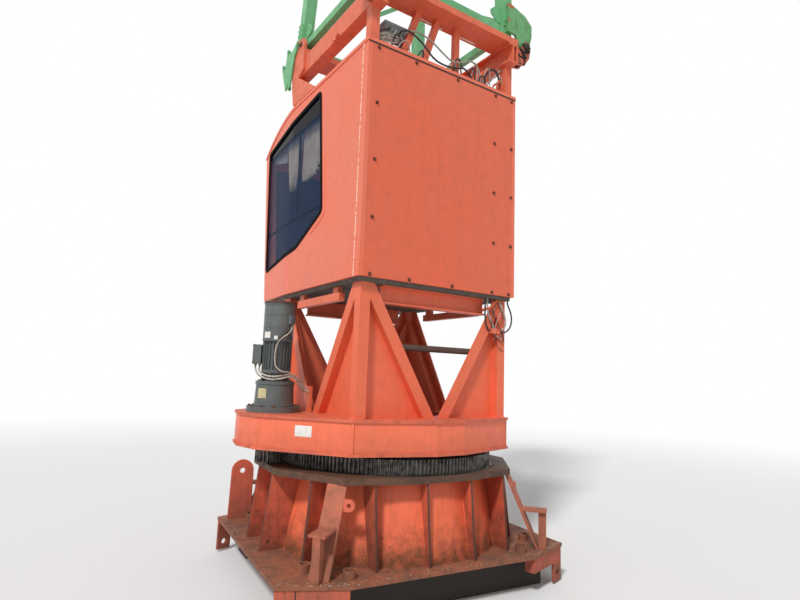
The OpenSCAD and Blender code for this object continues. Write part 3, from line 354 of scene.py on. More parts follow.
def block(mesh, low, high, soft=0.0, placing=None):
    """A block between two corners, its edges eased by soft."""
    low, high = Vector(low), Vector(high)
    size = high - low
    where_to = (placing or Matrix()) @ Matrix.Translation((low + high) / 2) @ Matrix.Diagonal((*size, 1))
    made = bmesh.ops.create_cube(mesh, size=1.0, matrix=where_to)["verts"]
    if soft:
        edges = list({e for v in made for e in v.link_edges})
        bmesh.ops.bevel(mesh, geom=edges, offset=soft, segments=2, affect="EDGES", profile=0.5, material=-1)


def plate_shape(mesh, outline, thick, placing=None):
    """A flat plate cut to the outline in local x and y, thick towards local z."""
    corners = [mesh.verts.new((placing or Matrix()) @ Vector((x, y, 0))) for x, y in outline]
    face = bmesh.ops.contextual_create(mesh, geom=corners)["faces"]
    grown = bmesh.ops.extrude_face_region(mesh, geom=face)["geom"]
    up_way = ((placing or Matrix()).to_3x3() @ Vector((0, 0, 1))).normalized() * thick
    bmesh.ops.translate(mesh, vec=up_way, verts=[v for v in grown if isinstance(v, bmesh.types.BMVert)])


def bead(mesh, start, end, radius, sides=8):
    """A weld bead or a thin rod between two points."""
    start, end = Vector(start), Vector(end)
    return turned(mesh, stood(start, end - start), (end - start).length, radius, sides=sides)


def make_piece(name, mesh, finish, body, sharp=40):
    """Turns a mesh into a piece that rides a body, smooth but for edges over sharp degrees."""
    bmesh.ops.remove_doubles(mesh, verts=mesh.verts, dist=0.00001)
    bmesh.ops.recalc_face_normals(mesh, faces=mesh.faces)
    data = bpy.data.meshes.new(name)
    mesh.to_mesh(data)
    mesh.free()
    data.shade_smooth()
    data.set_sharp_from_angle(angle=math.radians(sharp))
    data.materials.append(finish)
    made = bpy.data.objects.new(name, data)
    bpy.context.scene.collection.objects.link(made)
    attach(made, body)
    return made


# Light grit and mortar specks caked along the flange's rim, 3 to 9 mm across.
grit_paint = weathered("pale_mortar_grit", "#CFC4B2", "#B9AA96", "#8A7866", "#7A5A44", 0.85, 20.0, 0.2,
                       dirt_most=0.4, rust_share=0.02, rust_mm=4)
RIM = ((1.415, 1.060), (0.880, 1.270), (-0.880, 1.270), (-1.415, 1.060), (-1.415, -1.060), (-0.880, -1.270),
       (0.880, -1.270), (1.415, -1.060))
SPECKS = 520
rng = random.Random(3)
mesh = bmesh.new()
for _ in range(SPECKS):
    i = rng.randrange(len(RIM))
    a, b = Vector((*RIM[i], 0)), Vector((*RIM[(i + 1) % len(RIM)], 0))
    inward = Vector((-(b - a).y, (b - a).x, 0)).normalized()
    inward = inward if inward.dot(-a) > 0 else -inward
    spot = a + (b - a) * rng.random() + inward * abs(rng.gauss(0.004, 0.045))
    spot = BASE_TURN @ Vector((*spot.xy, FLANGE_TOP))
    size = rng.uniform(0.0015, 0.0045)
    stretch = Matrix.Diagonal((rng.uniform(0.8, 1.8), rng.uniform(0.8, 1.8), 0.7, 1))
    bmesh.ops.create_icosphere(mesh, subdivisions=1, radius=size, matrix=Matrix.Translation(spot) @ stretch)
make_piece("flange_grit", mesh, grit_paint, "base")

rusty_steel = weathered("rusty_bolt_steel", "#5A4438", "#6D5142", "#3B2E27", "#7A4326", 0.6, 9.0, 0.2,
                        rust_share=0.3, rust_mm=6, metallic=0.35, bump=0.4)
mesh = bmesh.new()
for quarter in range(4):
    for side in (-1, 1):
        corner_turn = Matrix.Rotation(math.radians(45 + 90 * quarter), 3, "Z")
        spot = corner_turn @ Vector((SOCKET_AT[0], side * SOCKET_AT[1], FLANGE_TOP))
        placing = stood(BASE_TURN @ spot, turn=0.4 * quarter + side)
        turned(mesh, placing, NUT_HIGH, NUT_ACROSS / math.sqrt(3), sides=6, soft=0.003)
        turned(mesh, placing, STUD_HIGH, STUD_R, sides=16, soft=0.002)
make_piece("socket_nuts", mesh, rusty_steel, "base")


# The ring support: a conical drum with leaning ribs and a sloping flat bar at each
# corner, welded steel, orange, with dark washed-down dirt at its foot and worn rib edges.
DRUM_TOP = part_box("drum")[1].z
DRUM_FOOT_R, DRUM_HEAD_R = 1.130, 0.990
RIB_PITCH, RIB_SHIFT, RIB_HALF = 0.450, 0.075, 0.012
FOOT_BEAD_R, RIB_BEAD_R = 0.007, 0.005

drum_paint = weathered(
    "washed_orange_drum", "#EC7049", "#DE6644", "#61391F", "#6A3220", 0.5, 1.6, 0.35,
    dirt_from=FLANGE_TOP - 0.02, dirt_to=FLANGE_TOP + 0.52, dirt_most=0.95, dirt_least=-0.35)
dress(["drum"], drum_paint)
dress(["drum_ribs"], weathered(
    "dirty_orange_ribs", "#DA6547", "#C86045", "#3E2A20", "#4E2A1E", 0.55, 2.4, 0.4,
    dirt_from=FLANGE_TOP, dirt_to=DRUM_TOP + 0.1, dirt_most=0.7, dirt_least=-0.05, rust_share=0.1,
    edge_dirt=0.9))
dress(["corner_bars"], weathered(
    "scuffed_orange_bars", "#D46C4C", "#BC684E", "#6E4E3C", "#4E2A1E", 0.6, 3.0, 0.55,
    dirt_from=FLANGE_TOP, dirt_to=DRUM_TOP + 0.5, dirt_most=0.7, dirt_least=0.15, rust_share=0.12,
    chip_hex="#8C7468", chip_share=0.4))
dress(["base_lugs"], weathered(
    "orange_lug_paint", "#D9694C", "#CB6650", "#6B4739", "#5A2E1E", 0.55, 2.0, 0.35,
    dirt_from=FLANGE_TOP, dirt_to=DRUM_TOP, dirt_most=0.6, dirt_least=0.0, rust_share=0.08))


def ring_bead(mesh, ring_r, z, radius, sides, steps):
    """A bead laid in a full turn round the slewing axis."""
    placing = Matrix.Translation((ring_r, 0, z)) @ Matrix.Rotation(math.pi / 2, 4, "X")
    profile = bmesh.ops.create_circle(mesh, segments=sides, radius=radius, matrix=placing)["verts"]
    edges = list({e for v in profile for e in v.link_edges})
    bmesh.ops.spin(mesh, geom=profile + edges, cent=(0, 0, 0), axis=(0, 0, 1), angle=2 * math.pi,
                   steps=steps, use_merge=True, use_duplicate=False)


mesh = bmesh.new()
ring_bead(mesh, DRUM_FOOT_R + 0.004, FLANGE_TOP + 0.002, FOOT_BEAD_R, sides=6, steps=96)
for half_turn in (0, math.pi):
    placing = BASE_TURN @ Matrix.Rotation(half_turn, 3, "Z")
    for i in (-1.5, -0.5, 0.5, 1.5):
        for off in (-RIB_HALF, RIB_HALF):
            x = i * RIB_PITCH - RIB_SHIFT + off
            foot, head = (placing @ Vector((x, math.sqrt(radius ** 2 - x ** 2) + 0.003, z)) for radius, z in
                          ((DRUM_FOOT_R, FLANGE_TOP + 0.004), (DRUM_HEAD_R, DRUM_TOP - 0.004)))
            bead(mesh, foot, head, RIB_BEAD_R, sides=6)
make_piece("drum_weld_beads", mesh, drum_paint, "base")


# The plate under the ring: flame-cut thick plate, its paint hidden by brown dust
# and old grease. A bead of black grease lies against the ring's foot.
GREASE_R, GREASE_BEAD_R, GREASE_LUMPS = 1.076, 0.016, 60
PLATE_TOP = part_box("base_top")[1].z
dress(["base_top"], weathered(
    "greasy_brown_plate", "#65432F", "#513A2D", "#2E2620", "#3E2419", 0.6, 2.0, 0.2,
    dirt_most=0.85, rust_share=0.1, bump=0.3))


def greased(name, dark_hex, worn_hex, scale, share_from=0.42):
    """Gear steel under grease: black and wet, worn bright where it shows through."""
    made, tree, where = material(name)
    smear = add(tree, "ShaderNodeTexNoise", {"Vector": where, "Scale": scale, "Detail": 6.0, "Roughness": 0.6})
    colour, share = coated(tree, linear(worn_hex), dark_hex, smear, share_from, share_from + 0.28)
    rough = add(tree, "ShaderNodeMapRange", {"Value": share, "To Min": 0.34, "To Max": 0.6})
    metal = add(tree, "ShaderNodeMapRange", {"Value": share, "To Min": 0.8, "To Max": 0.1})
    raised = add(tree, "ShaderNodeBump", {"Height": smear, "Strength": 0.3, "Distance": 0.002})
    shader = add(tree, "ShaderNodeBsdfPrincipled",
                 {"Base Color": colour, "Roughness": rough, "Metallic": metal, "Normal": raised})
    add(tree, "ShaderNodeOutputMaterial", {"Surface": shader})
    return made


grease = greased("black_ring_grease", "#0E0D0C", "#1C1A18", 30.0)
rng = random.Random(7)
mesh = bmesh.new()
ring_bead(mesh, GREASE_R, PLATE_TOP + 0.001, GREASE_BEAD_R, sides=8, steps=240)
lumps = [rng.uniform(0.35, 1.25) for _ in range(GREASE_LUMPS + 1)]
for vert in mesh.verts:
    turn = (math.atan2(vert.co.y, vert.co.x) / (2 * math.pi) % 1.0) * GREASE_LUMPS
    share = turn - int(turn)
    size = lumps[int(turn)] * (1 - share) + lumps[(int(turn) + 1) % GREASE_LUMPS] * share
    flat = vert.co.xy.normalized() * (GREASE_R - 0.002 + (vert.co.xy.length - GREASE_R) * size)
    vert.co = (*flat, PLATE_TOP + (vert.co.z - PLATE_TOP) * size * 0.6)
make_piece("ring_grease_bead", mesh, grease, "base", sharp=80)


# The slewing ring and its pinion: hardened gear steel, black with grease, worn bright
# along the teeth.
dress(["toothed_ring", "pinion"], greased("greased_gear_steel", "#151413", "#77746F", 16.0, 0.38))
dress(["inner_race"], greased("greased_race_steel", "#191817", "#4A4744", 9.0))


# The deck: two plates with a welded skirt between them, orange, the top lip dusty, with
# a bead along the skirt's upper edge and one bare white plate riveted on.
DECK_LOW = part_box("deck_bottom")[0].z
DECK_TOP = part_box("deck_top")[1].z
SKIRT_LOW, SKIRT_HIGH = (corner.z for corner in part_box("deck_skirt"))
SKIRT_LEFT, SKIRT_HALF = 0.869, 0.865
LABEL_MID = Vector((1.155, 0.512, 1.400))
LABEL_OUT = Vector((0.78098, 0.62456, 0))
LABEL_W, LABEL_H, LABEL_T = 0.158, 0.092, 0.002
CORNERS = ((-1, -1), (-1, 1), (1, -1), (1, 1))

dress(["deck_skirt", "deck_core"], weathered(
    "orange_deck_paint", "#F07452", "#E87352", "#8C4A36", "#6B3524", 0.45, 0.9, 0.22,
    dirt_from=DECK_LOW, dirt_to=DECK_TOP, dirt_most=0.35, dirt_least=-0.15))
lip_paint = weathered("dusty_orange_lip", "#DE6C4C", "#C8624A", "#6A4234", "#5A2E20", 0.55, 1.8, 0.2,
                      dirt_most=0.6, rust_share=0.09)
dress(["deck_bottom", "deck_top"], lip_paint)


def plated(name, clean_hex, blot_hex, scale, start, full, most, gloss, dull):
    """An enamelled plate or a printed foil: smooth and glossy, with dull blotches."""
    made, tree, where = material(name)
    blot = add(tree, "ShaderNodeTexNoise", {"Vector": where, "Scale": scale, "Detail": 5.0})
    tone, _ = coated(tree, linear(clean_hex), blot_hex, blot, start, full, most)
    rough = add(tree, "ShaderNodeMapRange", {"Value": blot, "To Min": gloss, "To Max": dull})
    shader = add(tree, "ShaderNodeBsdfPrincipled", {"Base Color": tone, "Roughness": rough, "IOR": 1.5})
    add(tree, "ShaderNodeOutputMaterial", {"Surface": shader})
    return made


mesh = bmesh.new()
for x, y in ((SKIRT_LEFT, SKIRT_HALF), (-SKIRT_HALF, SKIRT_HALF), (SKIRT_LEFT, -SKIRT_HALF),
             (-SKIRT_HALF, -SKIRT_HALF)):
    bead(mesh, (x, y, SKIRT_LOW), (x, y, SKIRT_HIGH), 0.007)
for z in (SKIRT_LOW + 0.004, SKIRT_HIGH - 0.004):
    bead(mesh, (SKIRT_LEFT, SKIRT_HALF + 0.003, z), (-SKIRT_HALF, SKIRT_HALF + 0.003, z), 0.006)
make_piece("deck_weld_beads", mesh, lip_paint, "upper")

label_white = plated("white_enamel_plate", "#E4E2DC", "#A79E92", 40.0, 0.5, 0.8, 0.5, 0.25, 0.55)
mesh = bmesh.new()
placing = framed((-LABEL_OUT.y, LABEL_OUT.x, 0), (0, 0, 1), LABEL_OUT, LABEL_MID)
block(mesh, (-LABEL_W / 2, -LABEL_H / 2, 0), (LABEL_W / 2, LABEL_H / 2, LABEL_T), 0.0005, placing)
for x, y in CORNERS:
    rivet = Matrix.Translation((x * (LABEL_W / 2 - 0.01), y * (LABEL_H / 2 - 0.01), LABEL_T))
    turned(mesh, placing @ rivet, 0.0015, 0.0035, 0.002, sides=10)
make_piece("deck_name_plate_blank", mesh, label_white, "upper")


# The pedestal: four square posts with folded diagonal plates between them, welded and
# painted orange, a few rust spots, weld beads round the posts' feet and tops.
PED_HALF = 0.850
POST_W = 0.100
PED_LOW, PED_TOP = (corner.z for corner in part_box("pedestal_posts"))

ped_paint = weathered("orange_pedestal_paint", "#EC6E4B", "#E2714F", "#9A5341", "#6E3020", 0.45, 0.8, 0.18,
                      dirt_most=0.22, rust_share=0.07, rust_mm=12)
dress(["pedestal_posts", "pedestal_rear", "pedestal_left", "pedestal_front", "pedestal_right",
       "floor_joists", "cable_clips"], ped_paint)
dress(["rear_tube"], weathered(
    "dark_tube_steel", "#4A3730", "#5C4439", "#33251F", "#5A2E1E", 0.55, 3.0, 0.2,
    dirt_most=0.5, rust_share=0.15, metallic=0.2))

mesh = bmesh.new()
inner, outer = PED_HALF - POST_W, PED_HALF
for x, y in CORNERS:
    for a, b in (((inner, outer), (outer, outer)), ((outer, outer), (outer, inner)),
                 ((inner, inner), (outer, inner)), ((inner, inner), (inner, outer))):
        for z, radius in ((PED_LOW + 0.002, 0.007), (PED_TOP - 0.002, 0.006)):
            bead(mesh, (x * a[0], y * a[1], z), (x * b[0], y * b[1], z), radius)
make_piece("post_weld_beads", mesh, ped_paint, "upper")


def wires(stem, leads):
    """Numbered cables: each lead is its sheath, its radius and the points it passes, in mm."""
    for i, (sheath, radius_mm, points) in enumerate(leads):
        cable("%s_%d" % (stem, i + 1), smooth_route(points), radius_mm / 1000, sheath)


# Thin wires that hang loose round the rear right post, and a lead bound in orange cloth
# that runs up from the joist's end; soft sheaths, held by the clip and the floor.
orange_sheath = sheathed("orange_bound_lead", "#D4603C", "#9C4C34", 0.75)
wires("post_wire", (
    (black_sheath, 4, (
        (-640, 858, 2690), (-650, 872, 2600), (-700, 878, 2480), (-760, 879, 2400), (-802, 874, 2330),
        (-830, 862, 2290), (-838, 848, 2272))),
    (black_sheath, 4, (
        (-700, 858, 2690), (-690, 874, 2600), (-655, 880, 2500), (-640, 879, 2420), (-665, 876, 2340),
        (-730, 873, 2290), (-800, 866, 2258), (-838, 848, 2246))),
    (grey_sheath, 4, (
        (-800, 858, 2690), (-790, 874, 2610), (-740, 882, 2520), (-700, 882, 2440), (-690, 876, 2360),
        (-725, 872, 2318), (-790, 866, 2300), (-836, 848, 2306))),
    (orange_sheath, 5, (
        (-660, 856, 2690), (-672, 873, 2620), (-700, 880, 2540), (-735, 882, 2470), (-752, 880, 2400),
        (-738, 874, 2340), (-700, 862, 2300), (-680, 846, 2286))),
    (black_sheath, 3, (
        (-720, 858, 2690), (-742, 876, 2620), (-786, 884, 2540), (-792, 884, 2470), (-750, 882, 2420),
        (-700, 876, 2330), (-720, 870, 2240), (-790, 860, 2190), (-838, 848, 2180))),
    (orange_sheath, 15, (
        (-546, 850, 2568), (-575, 860, 2584), (-615, 868, 2592), (-650, 872, 2612), (-678, 872, 2650),
        (-720, 868, 2676), (-775, 862, 2684))),
))


# The cab's shell: sheet steel walls on a welded floor, orange, the rear panel chalky and
# cloudy. The rear panel is bolted on with hexagon screws and washers.
CAB_REAR = 0.915
CAB_LOW = 2.727
CAB_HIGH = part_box("rear_wall")[1].z
SCREW_HEX, SCREW_HIGH = 0.013, 0.014
WASHER_R = 0.018
SEAM_Y = 0.823

side_paint = weathered("orange_cab_paint", "#EA6F50", "#E4765A", "#A85A46", "#7A3A26", 0.42, 0.9, 0.14,
                       dirt_most=0.15, rust_share=0.03, rust_mm=12)
dress(["left_wall", "right_wall", "front_wall", "cab_posts", "roof"], side_paint)
dress(["rear_wall"], weathered(
    "chalky_orange_panel", "#E26544", "#DA6A4E", "#A2533F", "#7A3322", 0.48, 0.7, 0.24,
    dirt_most=0.2, rust_share=0.02, rust_mm=10))
dress(["cab_floor"], weathered(
    "grey_floor_coating", "#5A5550", "#6A635C", "#4A3D35", "#4A2A1E", 0.7, 1.4, 0.1))

screw_steel = weathered("dull_plated_screws", "#7A4332", "#6A3A2C", "#3E2A22", "#5B3020", 0.5, 30.0, 0.2,
                        dirt_most=0.5, rust_share=0.2, rust_mm=4, metallic=0.3)
SCREWS = [(x, 2.109) for x in (0.805, 0.389, -0.117, -0.630, -0.860)]
SCREWS += [(x, z) for z in (1.580, 1.050, 0.526) for x in (0.805, -0.620, -0.858)]
SCREWS += [(x, 0.022) for x in (0.805, 0.393, -0.100, -0.607, -0.836)]
mesh = bmesh.new()
for i, (x, z) in enumerate(SCREWS):
    placing = stood((x, CAB_REAR, CAB_LOW + z), (0, 1, 0), 0.7 * i)
    turned(mesh, placing, 0.002, WASHER_R, sides=18)
    turned(mesh, placing, SCREW_HIGH, SCREW_HEX, sides=6, soft=0.0012)
make_piece("rear_panel_screws", mesh, screw_steel, "upper")

seam_paint = weathered("chipped_seam_paint", "#D8765C", "#E8A890", "#A65A44", "#7A3A26", 0.5, 9.0, 0.2,
                       dirt_most=0.3, rust_share=0.1, rust_mm=5, chip_hex="#F2D2BF", chip_share=1.3)
mesh = bmesh.new()
for x in (-CAB_REAR, CAB_REAR):
    bead(mesh, (x, SEAM_Y, CAB_LOW), (x, SEAM_Y, CAB_HIGH), 0.006)
make_piece("cab_corner_seams", mesh, seam_paint, "upper")

# A thin black strip along the roof's rear edge under its lip: painted shadow, standing in for the dark shade
# line in the gap below the lip.
lip_shadow_black = sheathed("black_painted_lip_shadow", "#141210", "#3A2A24", 0.5)
mesh = bmesh.new()
block(mesh, (-CAB_REAR, CAB_REAR - 0.002, CAB_HIGH - 0.014), (CAB_REAR, CAB_REAR + 0.005, CAB_HIGH), 0.002)
make_piece("roof_lip_shadow_strip", mesh, lip_shadow_black, "upper")


# The side windows: tinted safety glass with a black printed band along the top, held in
# a moulded rubber border that stands proud of the wall, on both sides of the cab.
PANE = ((-1.4865, 0.332), (-0.472, 0.462), (0.134, 0.735), (-0.043, 2.085), (-1.670, 1.920))
PANE_R = 0.070
FOLD_Y = -0.790
WALL_X, WALL_FALL = 0.915, 0.0693
BORDER_W, BORDER_H = 0.042, 0.008
BAND_Z = 4.555


def glazed(name, clear_hex, dark_hex, film_scale, haze_most, band_z=None):
    """Tinted glass with a greasy film in clouds. Above band_z it turns to a dense printed
    band; with none given it is opaque all over, its tint uneven with the film."""
    made, tree, where = material(name)
    film = add(tree, "ShaderNodeTexNoise",
               {"Vector": where, "Scale": film_scale, "Detail": 6.0, "Roughness": 0.65})
    haze = add(tree, "ShaderNodeMapRange", {
        "Value": film, "From Min": 0.35, "From Max": 0.75, "To Min": 0.04, "To Max": haze_most})
    share, alpha = film, 1.0
    if band_z:
        place = add(tree, "ShaderNodeSeparateXYZ", {"Vector": where})
        share = add(tree, "ShaderNodeMapRange",
                    {"Value": place.outputs["Z"], "From Min": band_z, "From Max": band_z + 0.004})
        alpha = add(tree, "ShaderNodeMapRange", {"Value": share, "To Min": 0.3, "To Max": 1.0})
    tint = add(tree, "ShaderNodeMix", {"data_type": "RGBA", 0: share, 6: linear(clear_hex), 7: linear(dark_hex)})
    shader = add(tree, "ShaderNodeBsdfPrincipled", {
        "Base Color": tint, "Roughness": haze, "Alpha": alpha, "IOR": 1.45, "Specular IOR Level": 0.035})
    add(tree, "ShaderNodeOutputMaterial", {"Surface": shader})
    return made


# The windscreen is drawn opaque and dark, its tint painted shade for the dim cab behind the glass, so that
# nothing shows through it.
dress(["side_windows"], glazed("tinted_safety_glass", "#33486A", "#101318", 2.5, 0.12, BAND_Z))
dress(["windscreen"], glazed("opaque_dark_windscreen_glass", "#141D2B", "#222B38", 2.0, 0.25))

bar_black = sheathed("black_bar_paint", "#060607", "#100F0F", 0.55, glancing=0.04)
dress(["window_bars"], bar_black)
border_rubber = sheathed("moulded_border_rubber", "#0C0C0E", "#1E1C1B", 0.6, glancing=0.04)


def wall_face(y):
    """How far out the cab's side wall stands at y: it turns in ahead of the fold."""
    return WALL_X - WALL_FALL * max(0.0, FOLD_Y - y)


mesh = bmesh.new()
corners = [mesh.verts.new((0, y, CAB_LOW + z)) for y, z in PANE]
bmesh.ops.contextual_create(mesh, geom=corners)
bmesh.ops.bevel(mesh, geom=corners, offset=PANE_R, segments=6, affect="VERTICES", profile=0.5, material=-1)
bmesh.ops.recalc_face_normals(mesh, faces=mesh.faces)
rim = bmesh.ops.inset_region(mesh, faces=mesh.faces[:], thickness=BORDER_W, use_even_offset=True,
                             use_boundary=True)["faces"]
bmesh.ops.delete(mesh, geom=[f for f in mesh.faces if f not in rim], context="FACES")
bmesh.ops.bisect_plane(mesh, geom=mesh.faces[:] + mesh.edges[:] + mesh.verts[:], plane_co=(0, FOLD_Y, 0),
                       plane_no=(0, 1, 0))
shell = bmesh.ops.extrude_face_region(mesh, geom=mesh.faces[:])["geom"]
tops = [v for v in shell if isinstance(v, bmesh.types.BMVert)]
bmesh.ops.translate(mesh, vec=(BORDER_H, 0, 0), verts=tops)
crest = [e for e in mesh.edges if e.is_manifold and all(v in tops for v in e.verts)
         and any(not all(v in tops for v in f.verts) for f in e.link_faces)]
bmesh.ops.bevel(mesh, geom=crest, offset=0.004, segments=2, affect="EDGES", profile=0.5, material=-1)
for vert in mesh.verts:
    vert.co.x += wall_face(vert.co.y) - 0.001
twin = bmesh.ops.duplicate(mesh, geom=mesh.verts[:] + mesh.edges[:] + mesh.faces[:])["geom"]
bmesh.ops.scale(mesh, vec=(-1, 1, 1), verts=[v for v in twin if isinstance(v, bmesh.types.BMVert)])
make_piece("window_rubber_borders", mesh, border_rubber, "upper", sharp=50)

# A line pressed into the wall sheet follows the window round its lower rear corner.
PRESSED_R = 0.005
PRESSED = ((0.120, 1.308), (0.159, 1.008), (0.183, 0.808), (0.180, 0.715), (0.129, 0.667), (0.022, 0.619),
           (-0.115, 0.557))
for i, side in enumerate((1000, -1000)):
    line = [(side * (WALL_X + 0.001), 1000 * y, 1000 * (CAB_LOW + z)) for y, z in PRESSED]
    cable("wall_pressed_line_%d" % (i + 1), smooth_route(line), PRESSED_R, side_paint)


# Inside the cab: a cushioned operator's seat on a steel post between two control stands
# with levers. The cushions are foam under woven cover cloth.
SEAT_Y = -0.650
SEAT_LOW = CAB_LOW + 0.380
CUSHION = (0.500, 0.500, 0.110)
BACK = (0.460, 0.090, 0.650)
BACK_FOOT = Vector((0, SEAT_Y + CUSHION[1] / 2 - 0.080, SEAT_LOW + CUSHION[2]))
BACK_LEAN = math.radians(12)
SEAT_POST_R, SEAT_POST_HIGH = 0.055, 0.340
PAN_HALF = (0.19, 0.18)
STAND_MID = 0.400
STAND_FRONT, STAND_H = -0.910, 0.620
THREAD_MM = 6.0

dress(["console"], weathered(
    "grey_console_paint", "#8F9394", "#84888A", "#4D4844", "#4A2A1E", 0.5, 2.0, 0.1, dirt_most=0.2))

# The cover is a plain weave in dark grey: its threads are drawn at 6 mm, coarser than the
# real 0.5 mm, which would not show.
cover_cloth, tree, where = material("dark_grey_woven_cover")
weft, warp = (add(tree, "ShaderNodeTexWave", {
    "Vector": where, "Scale": 3.14 / THREAD_MM * 10, "bands_direction": way}) for way in ("X", "DIAGONAL"))
weave = add(tree, "ShaderNodeMath", {"operation": "MULTIPLY", 0: weft.outputs["Fac"], 1: warp.outputs["Fac"]})
worn = add(tree, "ShaderNodeTexNoise", {"Vector": where, "Scale": 6.0, "Detail": 5.0})
share = add(tree, "ShaderNodeMath", {"operation": "MULTIPLY_ADD", 0: weave, 1: 0.12, 2: worn})
tone = add(tree, "ShaderNodeMix", {"data_type": "RGBA", 0: share, 6: linear("#26282B"), 7: linear("#4A4C50")})
raised = add(tree, "ShaderNodeBump", {"Height": weave, "Strength": 0.15, "Distance": 0.001})
shader = add(tree, "ShaderNodeBsdfPrincipled",
             {"Base Color": tone, "Normal": raised, "Roughness": 0.88, "Sheen Weight": 0.3})
add(tree, "ShaderNodeOutputMaterial", {"Surface": shader})


def cushion(name, size, placing, sag=0.0):
    """A crowned foam pad: its faces swell in the middle, its sides pull in between the
    corners, and a sewn seam runs round its waist."""
    mesh = bmesh.new()
    bmesh.ops.create_cube(mesh, size=1.0)
    bmesh.ops.subdivide_edges(mesh, edges=mesh.edges[:], cuts=11, use_grid_fill=True)
    for vert in mesh.verts:
        x, y, z = vert.co * 2
        on_side = max(abs(x), abs(y)) > 0.98
        crown = (1 - x ** 4) * (1 - y ** 4)
        rounding = 1 - 0.10 * max(0.0, abs(z) - 0.3) ** 2 / 0.49 if on_side else 1.0
        pull = 1 - 0.035 * (1 - min(1.0, abs(x * y)))
        seam = 0.985 if abs(z) < 0.1 and on_side else 1.0
        narrow = pull * rounding * seam
        vert.co = (x / 2 * size[0] * narrow, y / 2 * size[1] * narrow,
                   z / 2 * size[2] * (0.66 + 0.32 * crown) - sag * crown * max(0.0, z))
    bmesh.ops.transform(mesh, matrix=placing, verts=mesh.verts)
    made = make_piece(name, mesh, cover_cloth, "upper", sharp=70)
    smooth = made.modifiers.new("smooth", "SUBSURF")
    smooth.levels = smooth.render_levels = 1
    return made


base_cushion = cushion("seat_cushion", CUSHION, Matrix.Translation(
    (0, SEAT_Y - 0.010, SEAT_LOW + CUSHION[2] / 2)), sag=0.012)
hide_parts("seat")
cushion("seat_back", BACK, Matrix.Translation(BACK_FOOT) @ Matrix.Rotation(-BACK_LEAN, 4, "X")
        @ Matrix.Translation((0, BACK[1] / 2, BACK[2] / 2)))

mesh = bmesh.new()
placing = stood((0, SEAT_Y, CAB_LOW))
turned(mesh, placing, 0.015, 0.150, sides=32, soft=0.004)
turned(mesh, placing, SEAT_POST_HIGH, SEAT_POST_R)
block(mesh, (-PAN_HALF[0], SEAT_Y - PAN_HALF[1], SEAT_LOW - 0.040),
      (PAN_HALF[0], SEAT_Y + PAN_HALF[1], SEAT_LOW + 0.004), 0.006)
make_piece("seat_post_and_pan", mesh, bar_black, "upper")

mesh = bmesh.new()
front, top = STAND_FRONT + 0.12, CAB_LOW + STAND_H
for mid in (-STAND_MID, STAND_MID):
    turned(mesh, stood((mid, front, top)), 0.016, 0.045, 0.030, soft=0.003)
    bead(mesh, (mid, front, top + 0.01), (mid, front - 0.015, top + 0.120), 0.007, sides=12)
    bmesh.ops.create_uvsphere(mesh, u_segments=16, v_segments=10, radius=0.022,
                              matrix=Matrix.Translation((mid, front - 0.017, top + 0.135)))
    for k in range(5):
        button = (mid - 0.04 + 0.04 * (k % 3), front + 0.12 + 0.05 * (k // 3), top)
        turned(mesh, stood(button), 0.008, 0.011, 0.010, sides=16, soft=0.001)
make_piece("control_levers", mesh, bar_black, "upper")


# The curtains behind the left window: two short lengths of plain beige cloth, gathered
# on a thin steel rod inside the cab.
ROD_Z = 4.592
ROD_X, ROD_R = 0.838, 0.005
ROD_ENDS = (-1.02, -0.02)
CLOTH_X, CLOTH_TOP = 0.830, 4.604

curtain_cloth, tree, where = material("beige_curtain_weave_with_painted_fold_shade")
stain = add(tree, "ShaderNodeTexNoise", {"Vector": where, "Scale": 5.0, "Detail": 5.0})
thread = add(tree, "ShaderNodeTexNoise", {"Vector": where, "Scale": 420.0, "Detail": 2.0})
stained, _ = coated(tree, linear("#EFE3CD"), "#D6C5A8", stain, 0.35, 0.7)
folded = add(tree, "ShaderNodeUVMap", {"uv_map": "fold_count"})
# One wave for each fold, which is one unit of the map across: the scale is a tenth of pi.
fold_shade_wave = add(tree, "ShaderNodeTexWave", {
    "Vector": folded, "wave_profile": "SIN", "Scale": 0.314, "Distortion": 0.35, "Detail": 2.0,
    "Detail Scale": 1.5})
# The fold troughs are painted a dark brown: painted shade in the folds, laid over the folds' real shape.
painted_fold_shade = add(tree, "ShaderNodeMapRange", {
    "Value": fold_shade_wave.outputs["Fac"], "From Max": 0.7, "To Min": 1.0, "To Max": 0.0})
tone = add(tree, "ShaderNodeMix", {"data_type": "RGBA", 0: painted_fold_shade, 6: stained, 7: linear("#4E473A")})
raised = add(tree, "ShaderNodeBump", {"Height": thread, "Strength": 0.25, "Distance": 0.001})
shader = add(tree, "ShaderNodeBsdfPrincipled",
             {"Base Color": tone, "Normal": raised, "Roughness": 0.9, "Sheen Weight": 0.2})
add(tree, "ShaderNodeOutputMaterial", {"Surface": shader})

mesh = bmesh.new()
bead(mesh, (ROD_X, ROD_ENDS[0], ROD_Z), (ROD_X, ROD_ENDS[1], ROD_Z), ROD_R, sides=12)
for y in ROD_ENDS:
    bead(mesh, (ROD_X, y, ROD_Z), (wall_face(y) - 0.036, y, ROD_Z), 0.004)
make_piece("curtain_rod", mesh, bar_black, "upper")

